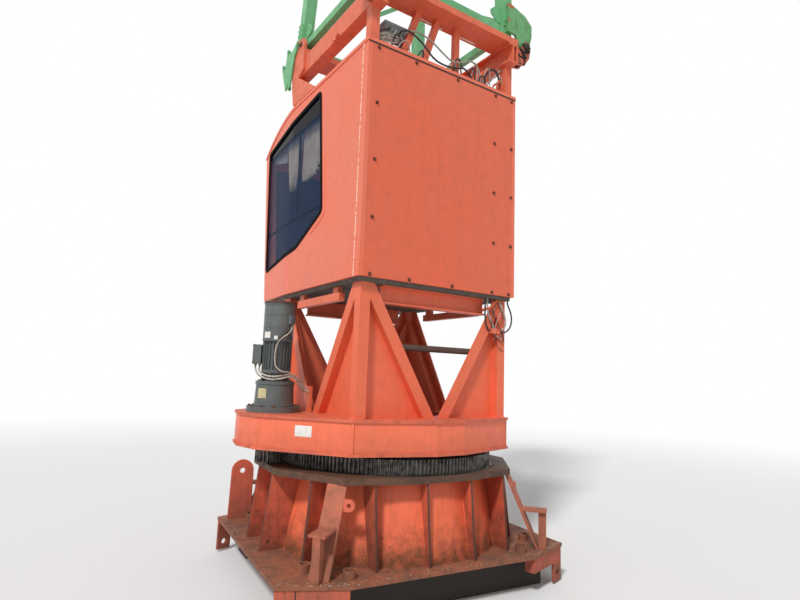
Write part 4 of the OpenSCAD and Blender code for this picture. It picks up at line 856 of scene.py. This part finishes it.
# Each curtain's front and rear end, its foot, the depth and count of its folds, the share
# of its width that is left at the foot, and how far the foot is drawn up at the rear.
for name, front_y, rear_y, low_z, wave, folds, narrow, sag in (
        ("front_curtain", -1.075, -0.650, 3.955, 0.022, 5, 0.30, 0.020),
        ("rear_curtain", -0.605, -0.090, 3.975, 0.024, 7, 0.86, 0.110)):
    mesh = bmesh.new()
    bmesh.ops.create_grid(mesh, x_segments=16 * folds, y_segments=18, size=0.5)
    fold_count = mesh.loops.layers.uv.new("fold_count")
    for face in mesh.faces:
        for loop in face.loops:
            loop[fold_count].uv = ((loop.vert.co.x + 0.5) * folds, 0.5 - loop.vert.co.y)
    high = CLOTH_TOP - low_z
    for vert in mesh.verts:
        share, drop = vert.co.x + 0.5, 0.5 - vert.co.y
        pull = 1 - (1 - narrow) * drop ** 1.5
        y = front_y + (rear_y - front_y) * (0.5 + (share - 0.5) * pull)
        phase = 2 * math.pi * folds * share
        depth = wave * (0.55 + 0.45 * drop) * (1 + 0.25 * math.sin(2.3 * phase / folds + front_y * 9))
        fall = high - sag * max(0.0, 2 * share - 1.0) ** 2
        vert.co = (CLOTH_X + depth * math.sin(phase) * (0.4 if drop < 0.03 else 1.0),
                   y + 0.25 * depth * math.sin(2 * phase + 0.4) * drop,
                   CLOTH_TOP - fall * drop - 0.006 * math.sin(phase) * drop)
    area = sum(f.calc_area() for f in mesh.faces)
    curtain = make_piece(name, mesh, curtain_cloth, "upper", sharp=180)
    thick = curtain.modifiers.new("cloth", "SOLIDIFY")
    thick.thickness = 0.0012
    thick.offset = 0.0


# The inside mirror on its bracket, seen as a pale shape behind the left window's front.
MIRROR_AT = (0.800, -1.36, 4.50)
MIRROR_HALF = Vector((0.010, 0.200, 0.060))

mesh = bmesh.new()
placing = Matrix.Translation(MIRROR_AT) @ Matrix.Rotation(math.radians(-14), 4, "X")
block(mesh, -MIRROR_HALF, MIRROR_HALF, 0.012, placing)
bead(mesh, (0.800, -1.20, 4.55), (0.790, -0.98, 4.63), 0.008, sides=12)
make_piece("inside_mirror", mesh, weathered(
    "pale_mirror_plastic", "#C9C7C2", "#BDBAB3", "#8D8881", "#6E6259", 0.4, 5.0, 0.1, dirt_most=0.2),
    "upper")


# The frame over the cab: box side beams on short posts with heavy cross beams, fork
# plates in front, lug pairs behind and leaning struts; welded steel plate, orange.
FRAME_HALF = 0.890
BEAM_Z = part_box("side_beams")[0].z
CROSS_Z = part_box("cross_beams")[0].z
ROOF_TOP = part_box("roof")[1].z
PIN_X, PIN_Z = 1.035, 5.510
PIN_Y = (0.852, 0.982)
PIN_R = 0.029
FORK_PIN_Y, FORK_PIN_Z = -0.680, 5.635

frame_paint = weathered("orange_frame_paint", "#E76C4A", "#DA6E50", "#7E4132", "#6A2F1E", 0.48, 1.0, 0.25,
                        dirt_most=0.35, rust_share=0.08, rust_mm=20)
dress(["frame_posts", "front_forks", "side_beams", "cross_beams", "roof_struts"], frame_paint)
dress(["rear_lugs"], weathered(
    "greasy_orange_lugs", "#C9613F", "#B4583E", "#2A211C", "#5A2E1E", 0.5, 4.0, 0.3,
    dirt_most=0.95, rust_share=0.25, rust_mm=16))

# Two pale lines along the underside of the rear cross beam: painted highlight, standing in for sunlit edges seen
# there.
pale_edge_highlight = weathered("pale_painted_edge_highlight", "#F2D8CB", "#E6B9A6", "#B0705C", "#8A4A36", 0.6, 20.0, 0.1,
                       dirt_most=0.5, rust_share=0.05, rust_mm=5)
mesh = bmesh.new()
for a, b in (((0.236, 0.722), (-0.050, 0.712)), ((-0.219, 0.718), (-0.483, 0.726))):
    bead(mesh, (*a, CROSS_Z - 0.003), (*b, CROSS_Z - 0.003), 0.010)
make_piece("cross_beam_highlight_lines", mesh, pale_edge_highlight, "upper")

# Steel pins through the rear lugs, with collars, hexagon nuts and caked grease.
pin_steel = weathered("rusty_pin_steel", "#4E4038", "#5E4C40", "#211B18", "#6E3B22", 0.5, 9.0, 0.2,
                      dirt_most=0.8, rust_share=0.25, rust_mm=8, metallic=0.4)
mesh = bmesh.new()
for x in (-1, 1):
    placing = stood((x * PIN_X, PIN_Y[0], PIN_Z), (0, 1, 0))
    turned(mesh, placing, PIN_Y[1] - PIN_Y[0], PIN_R, sides=32, soft=0.004)
    turned(mesh, placing, 0.012, 0.044, sides=32, soft=0.003)
    turned(mesh, stood((x * PIN_X, PIN_Y[1] - 0.014, PIN_Z), (0, 1, 0)), 0.014, 0.040, sides=6, soft=0.002)
    fork = stood((x * (FRAME_HALF - 0.004), FORK_PIN_Y, FORK_PIN_Z), (x, 0, 0))
    turned(mesh, fork, 0.048, PIN_R, sides=32, soft=0.004)
make_piece("frame_pins", mesh, pin_steel, "upper")

# The grease lies in lumps on the lugs' faces: every second one round the pin, the others
# on the plate below it, which widens upwards.
LUMPS_A_LUG = 190
LUG_FACES_Y = (0.864, 0.893, 0.939, 0.968)
LUG_LOW, LUG_HIGH = 5.275, 5.480
mesh = bmesh.new()
rng = random.Random(11)
for x in (-1, 1):
    for k in range(LUMPS_A_LUG):
        plate_y = rng.choice(LUG_FACES_Y)
        if k % 2:
            turn, far = rng.uniform(0, 2 * math.pi), rng.uniform(0.024, 0.052)
            across, high = PIN_X + far * math.cos(turn), PIN_Z + far * math.sin(turn)
        else:
            high = rng.uniform(LUG_LOW, LUG_HIGH)
            across = rng.uniform(0.905, 0.985 + 0.35 * (high - LUG_LOW))
        size = rng.uniform(0.007, 0.015)
        stretch = Matrix.Diagonal((rng.uniform(0.9, 1.7), 0.6, rng.uniform(0.9, 2.0), 1))
        placing = Matrix.Translation((x * across, plate_y, high)) @ stretch
        lump = bmesh.ops.create_icosphere(mesh, subdivisions=1, radius=size, matrix=placing)["verts"]
        for vert in lump:
            vert.co += Vector((rng.uniform(-1, 1), rng.uniform(-0.5, 0.5), rng.uniform(-1, 1))) * 0.003
make_piece("lug_grease_lumps", mesh, grease, "upper", sharp=80)

# A hook bracket under the left beam and the mirrored one on the right.
HOOK = ((0.170, BEAM_Z), (0.200, BEAM_Z), (0.215, 5.195), (0.245, 5.172), (0.285, 5.185), (0.320, 5.235),
        (0.300, 5.240), (0.270, 5.205), (0.245, 5.200), (0.232, 5.212), (0.232, BEAM_Z), (0.250, BEAM_Z),
        (0.250, BEAM_Z + 0.004), (0.170, BEAM_Z + 0.004))
HOOK_T = 0.030


def cut_plate(mesh, outline, x, thick):
    """A plate cut to the outline in the crane's y and z, thick towards +x from x."""
    plate_shape(mesh, outline, thick, framed((0, 1, 0), (0, 0, 1), (1, 0, 0), (x, 0, 0)))


mesh = bmesh.new()
for x in (-1, 1):
    cut_plate(mesh, HOOK, x * (FRAME_HALF + 0.030) - 0.004, HOOK_T)
make_piece("beam_hooks", mesh, frame_paint, "upper")

# The small electrical box on the roof with its bracket and the short conduits by it:
# folded sheet, grey, with plastic conduits clipped along the frame.
box_grey = weathered("grey_box_paint", "#8E9496", "#83898B", "#55504B", "#5A3A2A", 0.5, 4.0, 0.2,
                     dirt_most=0.35, rust_share=0.04, rust_mm=8)
mesh = bmesh.new()
for low, high, soft in (
        ((0.410, 0.640, 5.120), (0.660, 0.760, 5.250), 0.008),
        ((0.400, 0.632, 5.222), (0.670, 0.768, 5.254), 0.004),
        ((0.430, 0.680, ROOF_TOP - 0.010), (0.460, 0.710, 5.124), 0.003),
        ((0.610, 0.680, ROOF_TOP - 0.010), (0.640, 0.710, 5.124), 0.003)):
    block(mesh, low, high, soft)
for x in (0.450, 0.510, 0.570, 0.630):
    turned(mesh, stood((x, 0.758, 5.160), (0, 1, 0)), 0.022, 0.012, 0.010, sides=12, soft=0.001)
make_piece("roof_electric_box", mesh, box_grey, "upper")

ROOF_MM = 4906
CONDUITS = (
    (black_sheath, 9, (
        (630, 785, 5160), (640, 820, 5150), (680, 840, 5110), (760, 838, 5060), (800, 812, 5010),
        (806, 790, 4960), (806, 780, ROOF_MM))),
    (grey_sheath, 8, (
        (570, 785, 5160), (576, 818, 5140), (620, 842, 5080), (690, 848, 5030), (742, 838, 4980),
        (760, 812, 4940), (765, 790, ROOF_MM))),
    (black_sheath, 9, (
        (510, 785, 5160), (506, 815, 5170), (440, 842, 5180), (300, 850, 5120), (150, 850, 5010),
        (20, 846, 4985), (-120, 846, 5000), (-240, 842, 5040), (-330, 836, 5010), (-390, 815, 4960),
        (-400, 800, ROOF_MM))),
    (grey_sheath, 8, (
        (450, 785, 5160), (444, 812, 5180), (360, 838, 5210), (200, 852, 5180), (60, 856, 5110),
        (-80, 850, 5060), (-210, 850, 5090), (-330, 845, 5150), (-430, 838, 5130), (-490, 822, 5040),
        (-500, 800, 4960), (-500, 790, ROOF_MM))),
    (black_sheath, 11, (
        (-560, 760, ROOF_MM), (-560, 765, 4980), (-575, 800, 5080), (-620, 828, 5160), (-690, 838, 5170),
        (-740, 838, 5100), (-752, 828, 5010), (-748, 805, 4950), (-745, 790, ROOF_MM))),
    (grey_sheath, 8, (
        (-610, 720, ROOF_MM), (-612, 740, 4970), (-640, 790, 5040), (-690, 822, 5110), (-745, 834, 5190),
        (-800, 822, 5210), (-835, 790, 5240), (-840, 760, 5262))),
    (grey_sheath, 7, (
        (-660, 700, ROOF_MM), (-662, 730, 4960), (-690, 790, 5000), (-730, 826, 5060), (-770, 834, 5120),
        (-800, 826, 5060), (-812, 800, 4980), (-812, 780, ROOF_MM))),
    (orange_sheath, 12, (
        (-700, 838, ROOF_MM), (-705, 842, 4960), (-722, 846, 5030), (-748, 842, 5070), (-775, 836, 5050),
        (-790, 832, 4990), (-795, 830, ROOF_MM))),
    (orange_sheath, 9, (
        (-640, 836, ROOF_MM), (-655, 842, 4980), (-690, 848, 5020), (-730, 846, 5000), (-745, 840, 4950),
        (-748, 836, ROOF_MM))),
)
# Low arches along the roof's rear edge: where each starts, how far it reaches and rises.
ARCHES = ((620, 130, 190), (560, 170, 150), (330, 90, 120), (-40, 120, 150), (-110, 150, 210),
          (-150, 110, 120), (-290, 140, 170), (-350, 100, 230), (-440, 160, 140), (-520, 120, 250))
rng = random.Random(5)
for k, (start_x, reach, rise) in enumerate(ARCHES):
    points = []
    for share in (0, 0.14, 0.3, 0.5, 0.7, 0.86, 1):
        swell = math.sin(math.pi * share)
        points.append((start_x - share * reach + rng.uniform(-8, 8), 800 + 6 * (k % 4) + 34 * swell,
                       ROOF_MM + rise * swell ** 0.8 + (12 if 0 < share < 1 else 0)))
    CONDUITS += (((black_sheath, grey_sheath)[k % 2], (8, 6)[k % 2], points),)
# The pale leads that fan out from under the box down to the roof's left edge.
pale_sheath = sheathed("pale_box_leads", "#D8D4CB", "#A39D92", 0.6)
for k in range(9):
    step = 14 * k
    points = ((800, 790 + 3 * k, ROOF_MM), (792, 800, 4950 + step),
              (735, 812 + 2 * (k % 3), 4968 + step + rng.uniform(-6, 6)),
              (660, 818, 4990 + step + rng.uniform(-8, 8)),
              (585, 812, 5012 + 0.8 * step + rng.uniform(-8, 8)),
              (530 - 4 * k, 794, 5060 + 0.5 * step), (505 - 6 * k, 752, 5122))
    CONDUITS += (((pale_sheath, grey_sheath)[k % 3 == 2], (7, 5)[k % 2], points),)
wires("roof_conduit", CONDUITS)


# The tower head: a tapering lattice of welded square tube with leg stubs on pads, mint
# green, streaked with rust from the joints. Thin gussets close the lacing's corners.
HEAD_LOW, HEAD_HIGH = 5.710, 11.610
LEG_W, LACE_W = 0.130, 0.045
BAYS, BAY_RATIO, LACE_TOP = 6, 0.86, 0.97
GUSSET = ((-0.045, -0.095), (-0.045, 0.105), (0.020, 0.105), (0.110, 0.030), (0.110, -0.020), (0.020, -0.095))
GUSSET_T = 0.008
GUSSET_SMALL = 0.80
SPLICE_Z, SPLICE_T = 5.980, 0.012

green_paint = weathered("mint_green_paint", "#63AC74", "#76B984", "#45604A", "#5A3A26", 0.46, 0.9, 0.2,
                        dirt_most=0.35, rust_share=0.09, rust_mm=12, chip_hex="#5F4634", chip_share=0.25)
dress(["head_foot", "head_legs", "head_lacing_sides", "head_lacing_ends", "head_top"], green_paint)
dress(["head_brackets"], weathered(
    "greasy_green_brackets", "#6BAA6E", "#5F9A62", "#3A3A2C", "#B0582E", 0.5, 5.0, 0.3,
    dirt_most=0.7, rust_share=0.35, rust_mm=22))


def leg_at(x, y, share):
    """A point on a leg's axis: x and y name the leg by its sides, share goes up from 0 to 1."""
    low = Vector((0.820 * x, 0.820 * y + 0.010, HEAD_LOW))
    high = Vector((0.560 * x, -0.640 + (1.400 if y > 0 else 0.0), HEAD_HIGH))
    return low + (high - low) * share


mesh = bmesh.new()
for x, y in CORNERS:
    axis = (leg_at(x, y, 1) - leg_at(x, y, 0)).normalized()
    for outward, inward in ((Vector((x, 0, 0)), Vector((0, -y, 0))), (Vector((0, y, 0)), Vector((-x, 0, 0)))):
        side = (inward - axis * inward.dot(axis)).normalized()
        normal = axis.cross(side).normalized()
        normal = normal if normal.dot(outward) > 0 else -normal
        for bay in range(BAYS + 1):
            share = LACE_TOP * (1 - BAY_RATIO ** bay) / (1 - BAY_RATIO ** BAYS)
            size = GUSSET_SMALL if bay else 1.0
            at = leg_at(x, y, share) + side * (LEG_W / 2 + 0.045) + normal * (LACE_W / 2 + 0.0005)
            if bay == 0:
                at += axis * 0.120
            outline = [(px * size, py * size) for px, py in GUSSET]
            plate_shape(mesh, outline, GUSSET_T, framed(side, axis, normal, at))
make_piece("head_gussets", mesh, green_paint, "upper")

mesh = bmesh.new()
for x, y in CORNERS:
    axis = (leg_at(x, y, 1) - leg_at(x, y, 0)).normalized()
    for outward in (Vector((x, 0, 0)), Vector((0, y, 0))):
        normal = (outward - axis * outward.dot(axis)).normalized()
        at = leg_at(x, y, 0.008) + normal * (LEG_W / 2 - 0.001)
        placing = framed(axis.cross(normal).normalized(), axis, normal, at)
        high = SPLICE_Z - at.z
        plate_shape(mesh, ((-0.056, 0), (0.056, 0), (0.056, high - 0.04), (0.030, high), (-0.030, high),
                           (-0.056, high - 0.04)), SPLICE_T, placing)
        for k in range(3):
            for off in (-0.030, 0.030):
                bolt = Matrix.Translation((off, 0.06 + 0.065 * k, SPLICE_T))
                turned(mesh, placing @ bolt, 0.012, 0.013, sides=6, soft=0.0015)
make_piece("leg_foot_plates", mesh, green_paint, "upper")

# A thin rod in the black sheath finish that zigzags down the left rear leg: painted shade, drawn where the leg
# shows a dark zigzag of lacing in shadow.
zigzag = []
for k in range(15):
    spot = leg_at(1, 1, 0.075 + 0.022 * k)
    zigzag.append((spot + Vector((LEG_W / 2 + 0.006, (0.035 if k % 2 else -0.035), 0))) * 1000)
cable("leg_zigzag_shade_line", smooth_route(zigzag, steps=4), 0.005, black_sheath)

# The pinned hanging link at the left fork: cut plate, green, with a pin at each bend.
LINK = ((-0.982, 5.689), (-1.193, 5.549), (-1.050, 5.218), (-0.927, 5.165), (-0.905, 5.230), (-0.975, 5.275),
        (-1.085, 5.545), (-0.950, 5.630), (-0.822, 5.563), (-0.790, 5.600), (-0.700, 5.653), (-0.760, 5.712),
        (-1.048, 5.747))
LINK_PINS = ((-0.930, 5.205), (-1.140, 5.560), (-1.010, 5.700))
LINK_X, LINK_T = 0.924, 0.016
mesh = bmesh.new()
for x in (-1, 1):
    cut_plate(mesh, LINK, LINK_X if x > 0 else -LINK_X - LINK_T, LINK_T)
    for y, z in LINK_PINS:
        turned(mesh, stood((x * 0.915, y, z), (x, 0, 0)), 0.040, 0.020, soft=0.003)
        turned(mesh, stood((x * 0.940, y, z), (x, 0, 0)), 0.010, 0.028, sides=6, soft=0.002)
make_piece("fork_links", mesh, green_paint, "upper")


# The slewing drive: a flanged gearbox with a finned electric motor and a disc brake above
# it, cast iron and aluminium painted grey-green, with zinc-plated screws and bare labels.
DRIVE_X, DRIVE_Y = 1.18013, -0.13655
FLANGE_Z = 1.569
GEARBOX_Z = (1.569, 1.802)
MOTOR_Z = (1.897, 2.182)
BRAKE_R = 0.142
GEARBOX_LABEL_R = (0.1815, 0.1765)
FOIL_T = 0.0008

drive_paint = weathered("grey_drive_paint", "#565C5B", "#606766", "#3A3733", "#3E2A20", 0.45, 2.5, 0.2,
                        dirt_most=0.35, rust_share=0.06, rust_mm=8)
dress(["drive_gearbox"], drive_paint)
dress(["drive_motor", "terminal_box"], weathered(
    "dark_brake_paint", "#5C6262", "#666C6B", "#3C3832", "#6A3E26", 0.42, 3.0, 0.25,
    dirt_from=1.9, dirt_to=2.9, dirt_most=0.3, dirt_least=0.0, rust_share=0.1, rust_mm=7))


def around_drive(angle, radius, z):
    """A spot round the drive's axis, the angle counted from +x of the crane in degrees."""
    turn = math.radians(angle)
    return Vector((DRIVE_X + radius * math.cos(turn), DRIVE_Y + radius * math.sin(turn), z))


def drive_turned(angle, z=0.0):
    """The placing on the drive's axis at a height, with local x turned to the angle."""
    return Matrix.Translation(around_drive(0, 0, z)) @ Matrix.Rotation(math.radians(angle), 4, "Z")


# Bolts: how many, the first one's angle, their circle and foot, how each is turned on, its
# height, its size across the corners and its eased edge.
mesh = bmesh.new()
for count, first, circle_r, z, turn, high, radius, soft in (
        (12, 8, 0.225, FLANGE_Z, 0.5, 0.016, 0.014, 0.002),
        (10, 12, 0.150, GEARBOX_Z[1], 0.7, 0.012, 0.012, 0.0015),
        (8, 20, 0.124, MOTOR_Z[0] + 0.012, 0.3, 0.011, 0.009, 0.001)):
    for k in range(count):
        placing = stood(around_drive(360 / count * k + first, circle_r, z), turn=turn * k)
        if z == FLANGE_Z:
            turned(mesh, placing, 0.003, 0.018, sides=20)
        turned(mesh, placing, high, radius, sides=6, soft=soft)
make_piece("drive_bolts", mesh, rusty_steel, "upper")


def drive_rims(mesh, rims):
    """Round rims on the drive's axis: each is its foot, its height, its radius and its ease."""
    for z, high, radius, soft in rims:
        turned(mesh, stood(around_drive(0, 0, z)), high, radius, sides=96, soft=soft)


mesh = bmesh.new()
drive_rims(mesh, (
    (GEARBOX_Z[1] - 0.030, 0.030, 0.182, 0.004), (GEARBOX_Z[0], 0.022, 0.196, 0.004),
    (MOTOR_Z[0] - 0.020, 0.032, 0.136, 0.004), (MOTOR_Z[1] - 0.004, 0.016, 0.145, 0.004)))
for k in range(8):
    rib = framed((1, 0, 0), (0, 0, 1), (0, -1, 0), (0, 0.004, 0))
    plate_shape(mesh, ((0.105, 0), (0.150, 0), (0.128, 0.078), (0.105, 0.078)), 0.008,
                drive_turned(45 * k, GEARBOX_Z[1]) @ rib)
drive_rims(mesh, ((2.300, 0.008, 0.1445, 0.002), (2.420, 0.008, 0.1445, 0.002), (2.518, 0.006, 0.1455, 0.002)))
make_piece("drive_rims_and_ribs", mesh, drive_paint, "upper")

# The lids of the motor's and the brake's terminal boxes, each with a screw near its corners.
mesh = bmesh.new()
for angle, inner_x, outer_x, half_y, low_z, high_z, soft, screw_y, screw_z, screw_high, screw_r in (
        (-33.6, 0.208, 0.216, 0.068, 1.958, 2.146, 0.003, 0.055, (1.972, 2.132), 0.004, 0.007),
        (118.4, 0.168, 0.174, 0.032, 2.340, 2.429, 0.002, 0.024, (2.348, 2.421), 0.003, 0.005)):
    placing = drive_turned(angle)
    block(mesh, (inner_x, -half_y, low_z), (outer_x, half_y, high_z), soft, placing)
    for y in (-screw_y, screw_y):
        for z in screw_z:
            screw = placing @ stood((outer_x, y, z), (1, 0, 0))
            turned(mesh, screw, screw_high, screw_r, sides=12, soft=0.001)
make_piece("terminal_box_lids", mesh, drive_paint, "upper")

gland_brass = weathered("dull_brass_glands", "#8C7A52", "#7C6C49", "#4A4036", "#5A4A30", 0.4, 12.0, 0.1,
                        dirt_most=0.5, rust_share=0.05, metallic=0.8)
mesh = bmesh.new()
for x, y, z, radius in ((1.353, -0.227, 1.962, 0.014), (1.320, -0.205, 1.962, 0.014),
                        (1.104, 0.005, 2.342, 0.011)):
    placing = stood((x, y, z + 0.002), (0, 0, -1))
    turned(mesh, placing, 0.014, radius, sides=6, soft=0.001)
    turned(mesh, placing, 0.024, radius * 0.8, sides=20, soft=0.002)
make_piece("cable_glands", mesh, gland_brass, "upper")

# The brake's cover rim, where the paint has gone to rust.
mesh = bmesh.new()
drive_rims(mesh, ((2.538, 0.021, 0.1485, 0.005),))
make_piece("brake_cover_rim", mesh, rusty_steel, "upper")

# The hand release lever of the brake: a bent rod over the drum, bare steel.
lever = []
for k in range(13):
    share = k / 12
    swell = math.sin(math.pi * share)
    lever.append(around_drive(72 + 57 * share, 0.148 + 0.012 * swell, 2.195 + 0.072 * swell) * 1000)
cable("brake_release_lever", smooth_route(lever, steps=3), 0.006, pin_steel)

# Blank labels, curved to the drum they are stuck on: printed foil with nothing on it. Each
# has its radius at foot and head, its start and end in degrees, and its lower and upper edge.
foil = plated("yellowed_blank_foil", "#C9BE8E", "#7F765C", 30.0, 0.42, 0.75, 0.7, 0.35, 0.6)
for i, (low_r, high_r, from_deg, to_deg, low_z, high_z, finish) in enumerate((
        (BRAKE_R, BRAKE_R, 9, 38, 2.205, 2.262, label_white),
        (BRAKE_R, BRAKE_R, 54, 67, 2.180, 2.225, label_white),
        (*GEARBOX_LABEL_R, 13, 44, 1.646, 1.735, foil))):
    mesh = bmesh.new()
    edge = [mesh.verts.new(around_drive(from_deg, r + FOIL_T, z)) for r, z in ((low_r, low_z), (high_r, high_z))]
    rim = mesh.edges.new(edge)
    bmesh.ops.spin(mesh, geom=edge + [rim], cent=around_drive(0, 0, 0), axis=(0, 0, 1),
                   angle=math.radians(to_deg - from_deg), steps=10, use_duplicate=False)
    bmesh.ops.recalc_face_normals(mesh, faces=mesh.faces)
    bmesh.ops.solidify(mesh, geom=mesh.faces[:], thickness=FOIL_T)
    make_piece("blank_label_%d" % (i + 1), mesh, finish, "upper")

# The motor and brake leads: corrugated pale sleeves from the glands to the clamp post.
LEADS = (
    (0.009, (
        (1353, -227, 1962), (1354, -224, 1930), (1350, -200, 1886), (1334, -150, 1850), (1300, -68, 1826),
        (1250, -6, 1818), (1190, 30, 1830), (1115, 34, 1846), (1045, 22, 1826), (990, 8, 1776),
        (955, -2, 1741), (922, -8, 1718), (885, -9, 1712))),
    (0.009, (
        (1320, -205, 1962), (1322, -202, 1932), (1332, -178, 1902), (1325, -120, 1870), (1290, -50, 1850),
        (1240, -14, 1846), (1180, 4, 1854), (1105, -4, 1864), (1035, -18, 1838), (985, -31, 1782),
        (952, -36, 1744), (920, -38, 1718), (885, -38, 1712))),
    (0.007, (
        (1104, 5, 2342), (1106, 8, 2302), (1122, 20, 2272), (1155, 30, 2240), (1196, 30, 2212),
        (1232, 18, 2170), (1250, 6, 2100), (1254, 5, 2010), (1240, 16, 1938), (1190, 32, 1896),
        (1120, 22, 1888), (1045, 4, 1862), (990, -12, 1810), (955, -19, 1774), (922, -23, 1750),
        (885, -24, 1744))),
)
HALF_RIB = 0.0035
sleeve = sheathed("pale_corrugated_sleeve", "#C6C0B2", "#8F887A", 0.4)


def corrugated(mesh, route, radius):
    """A ribbed sleeve along the route: a ring every half rib, its radius in and out by turns."""
    spaced = [route[0]]
    for a, b in zip(route, route[1:]):
        while (b - spaced[-1]).length > HALF_RIB and (b - a).length > 0:
            spaced.append(spaced[-1] + (b - spaced[-1]).normalized() * HALF_RIB)
    rings, side = [], Vector((1, 0, 0))
    for i, spot in enumerate(spaced):
        run = (spaced[min(i + 1, len(spaced) - 1)] - spaced[max(i - 1, 0)]).normalized()
        side = (side - run * side.dot(run)).normalized()
        wide = radius if i % 2 else radius - 0.0016
        made = bmesh.ops.create_circle(mesh, segments=10, radius=wide,
                                       matrix=framed(side, run.cross(side), run, spot))["verts"]
        rings.append(list({e for v in made for e in v.link_edges}))
    for a, b in zip(rings, rings[1:]):
        bmesh.ops.bridge_loops(mesh, edges=a + b)
    for ring in (rings[0], rings[-1]):
        bmesh.ops.contextual_create(mesh, geom=ring)


mesh = bmesh.new()
for radius, points in LEADS:
    corrugated(mesh, smooth_route(points, steps=10), radius)
leads = make_piece("motor_lead_sleeves", mesh, sleeve, "upper", sharp=180)
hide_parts("motor_leads")
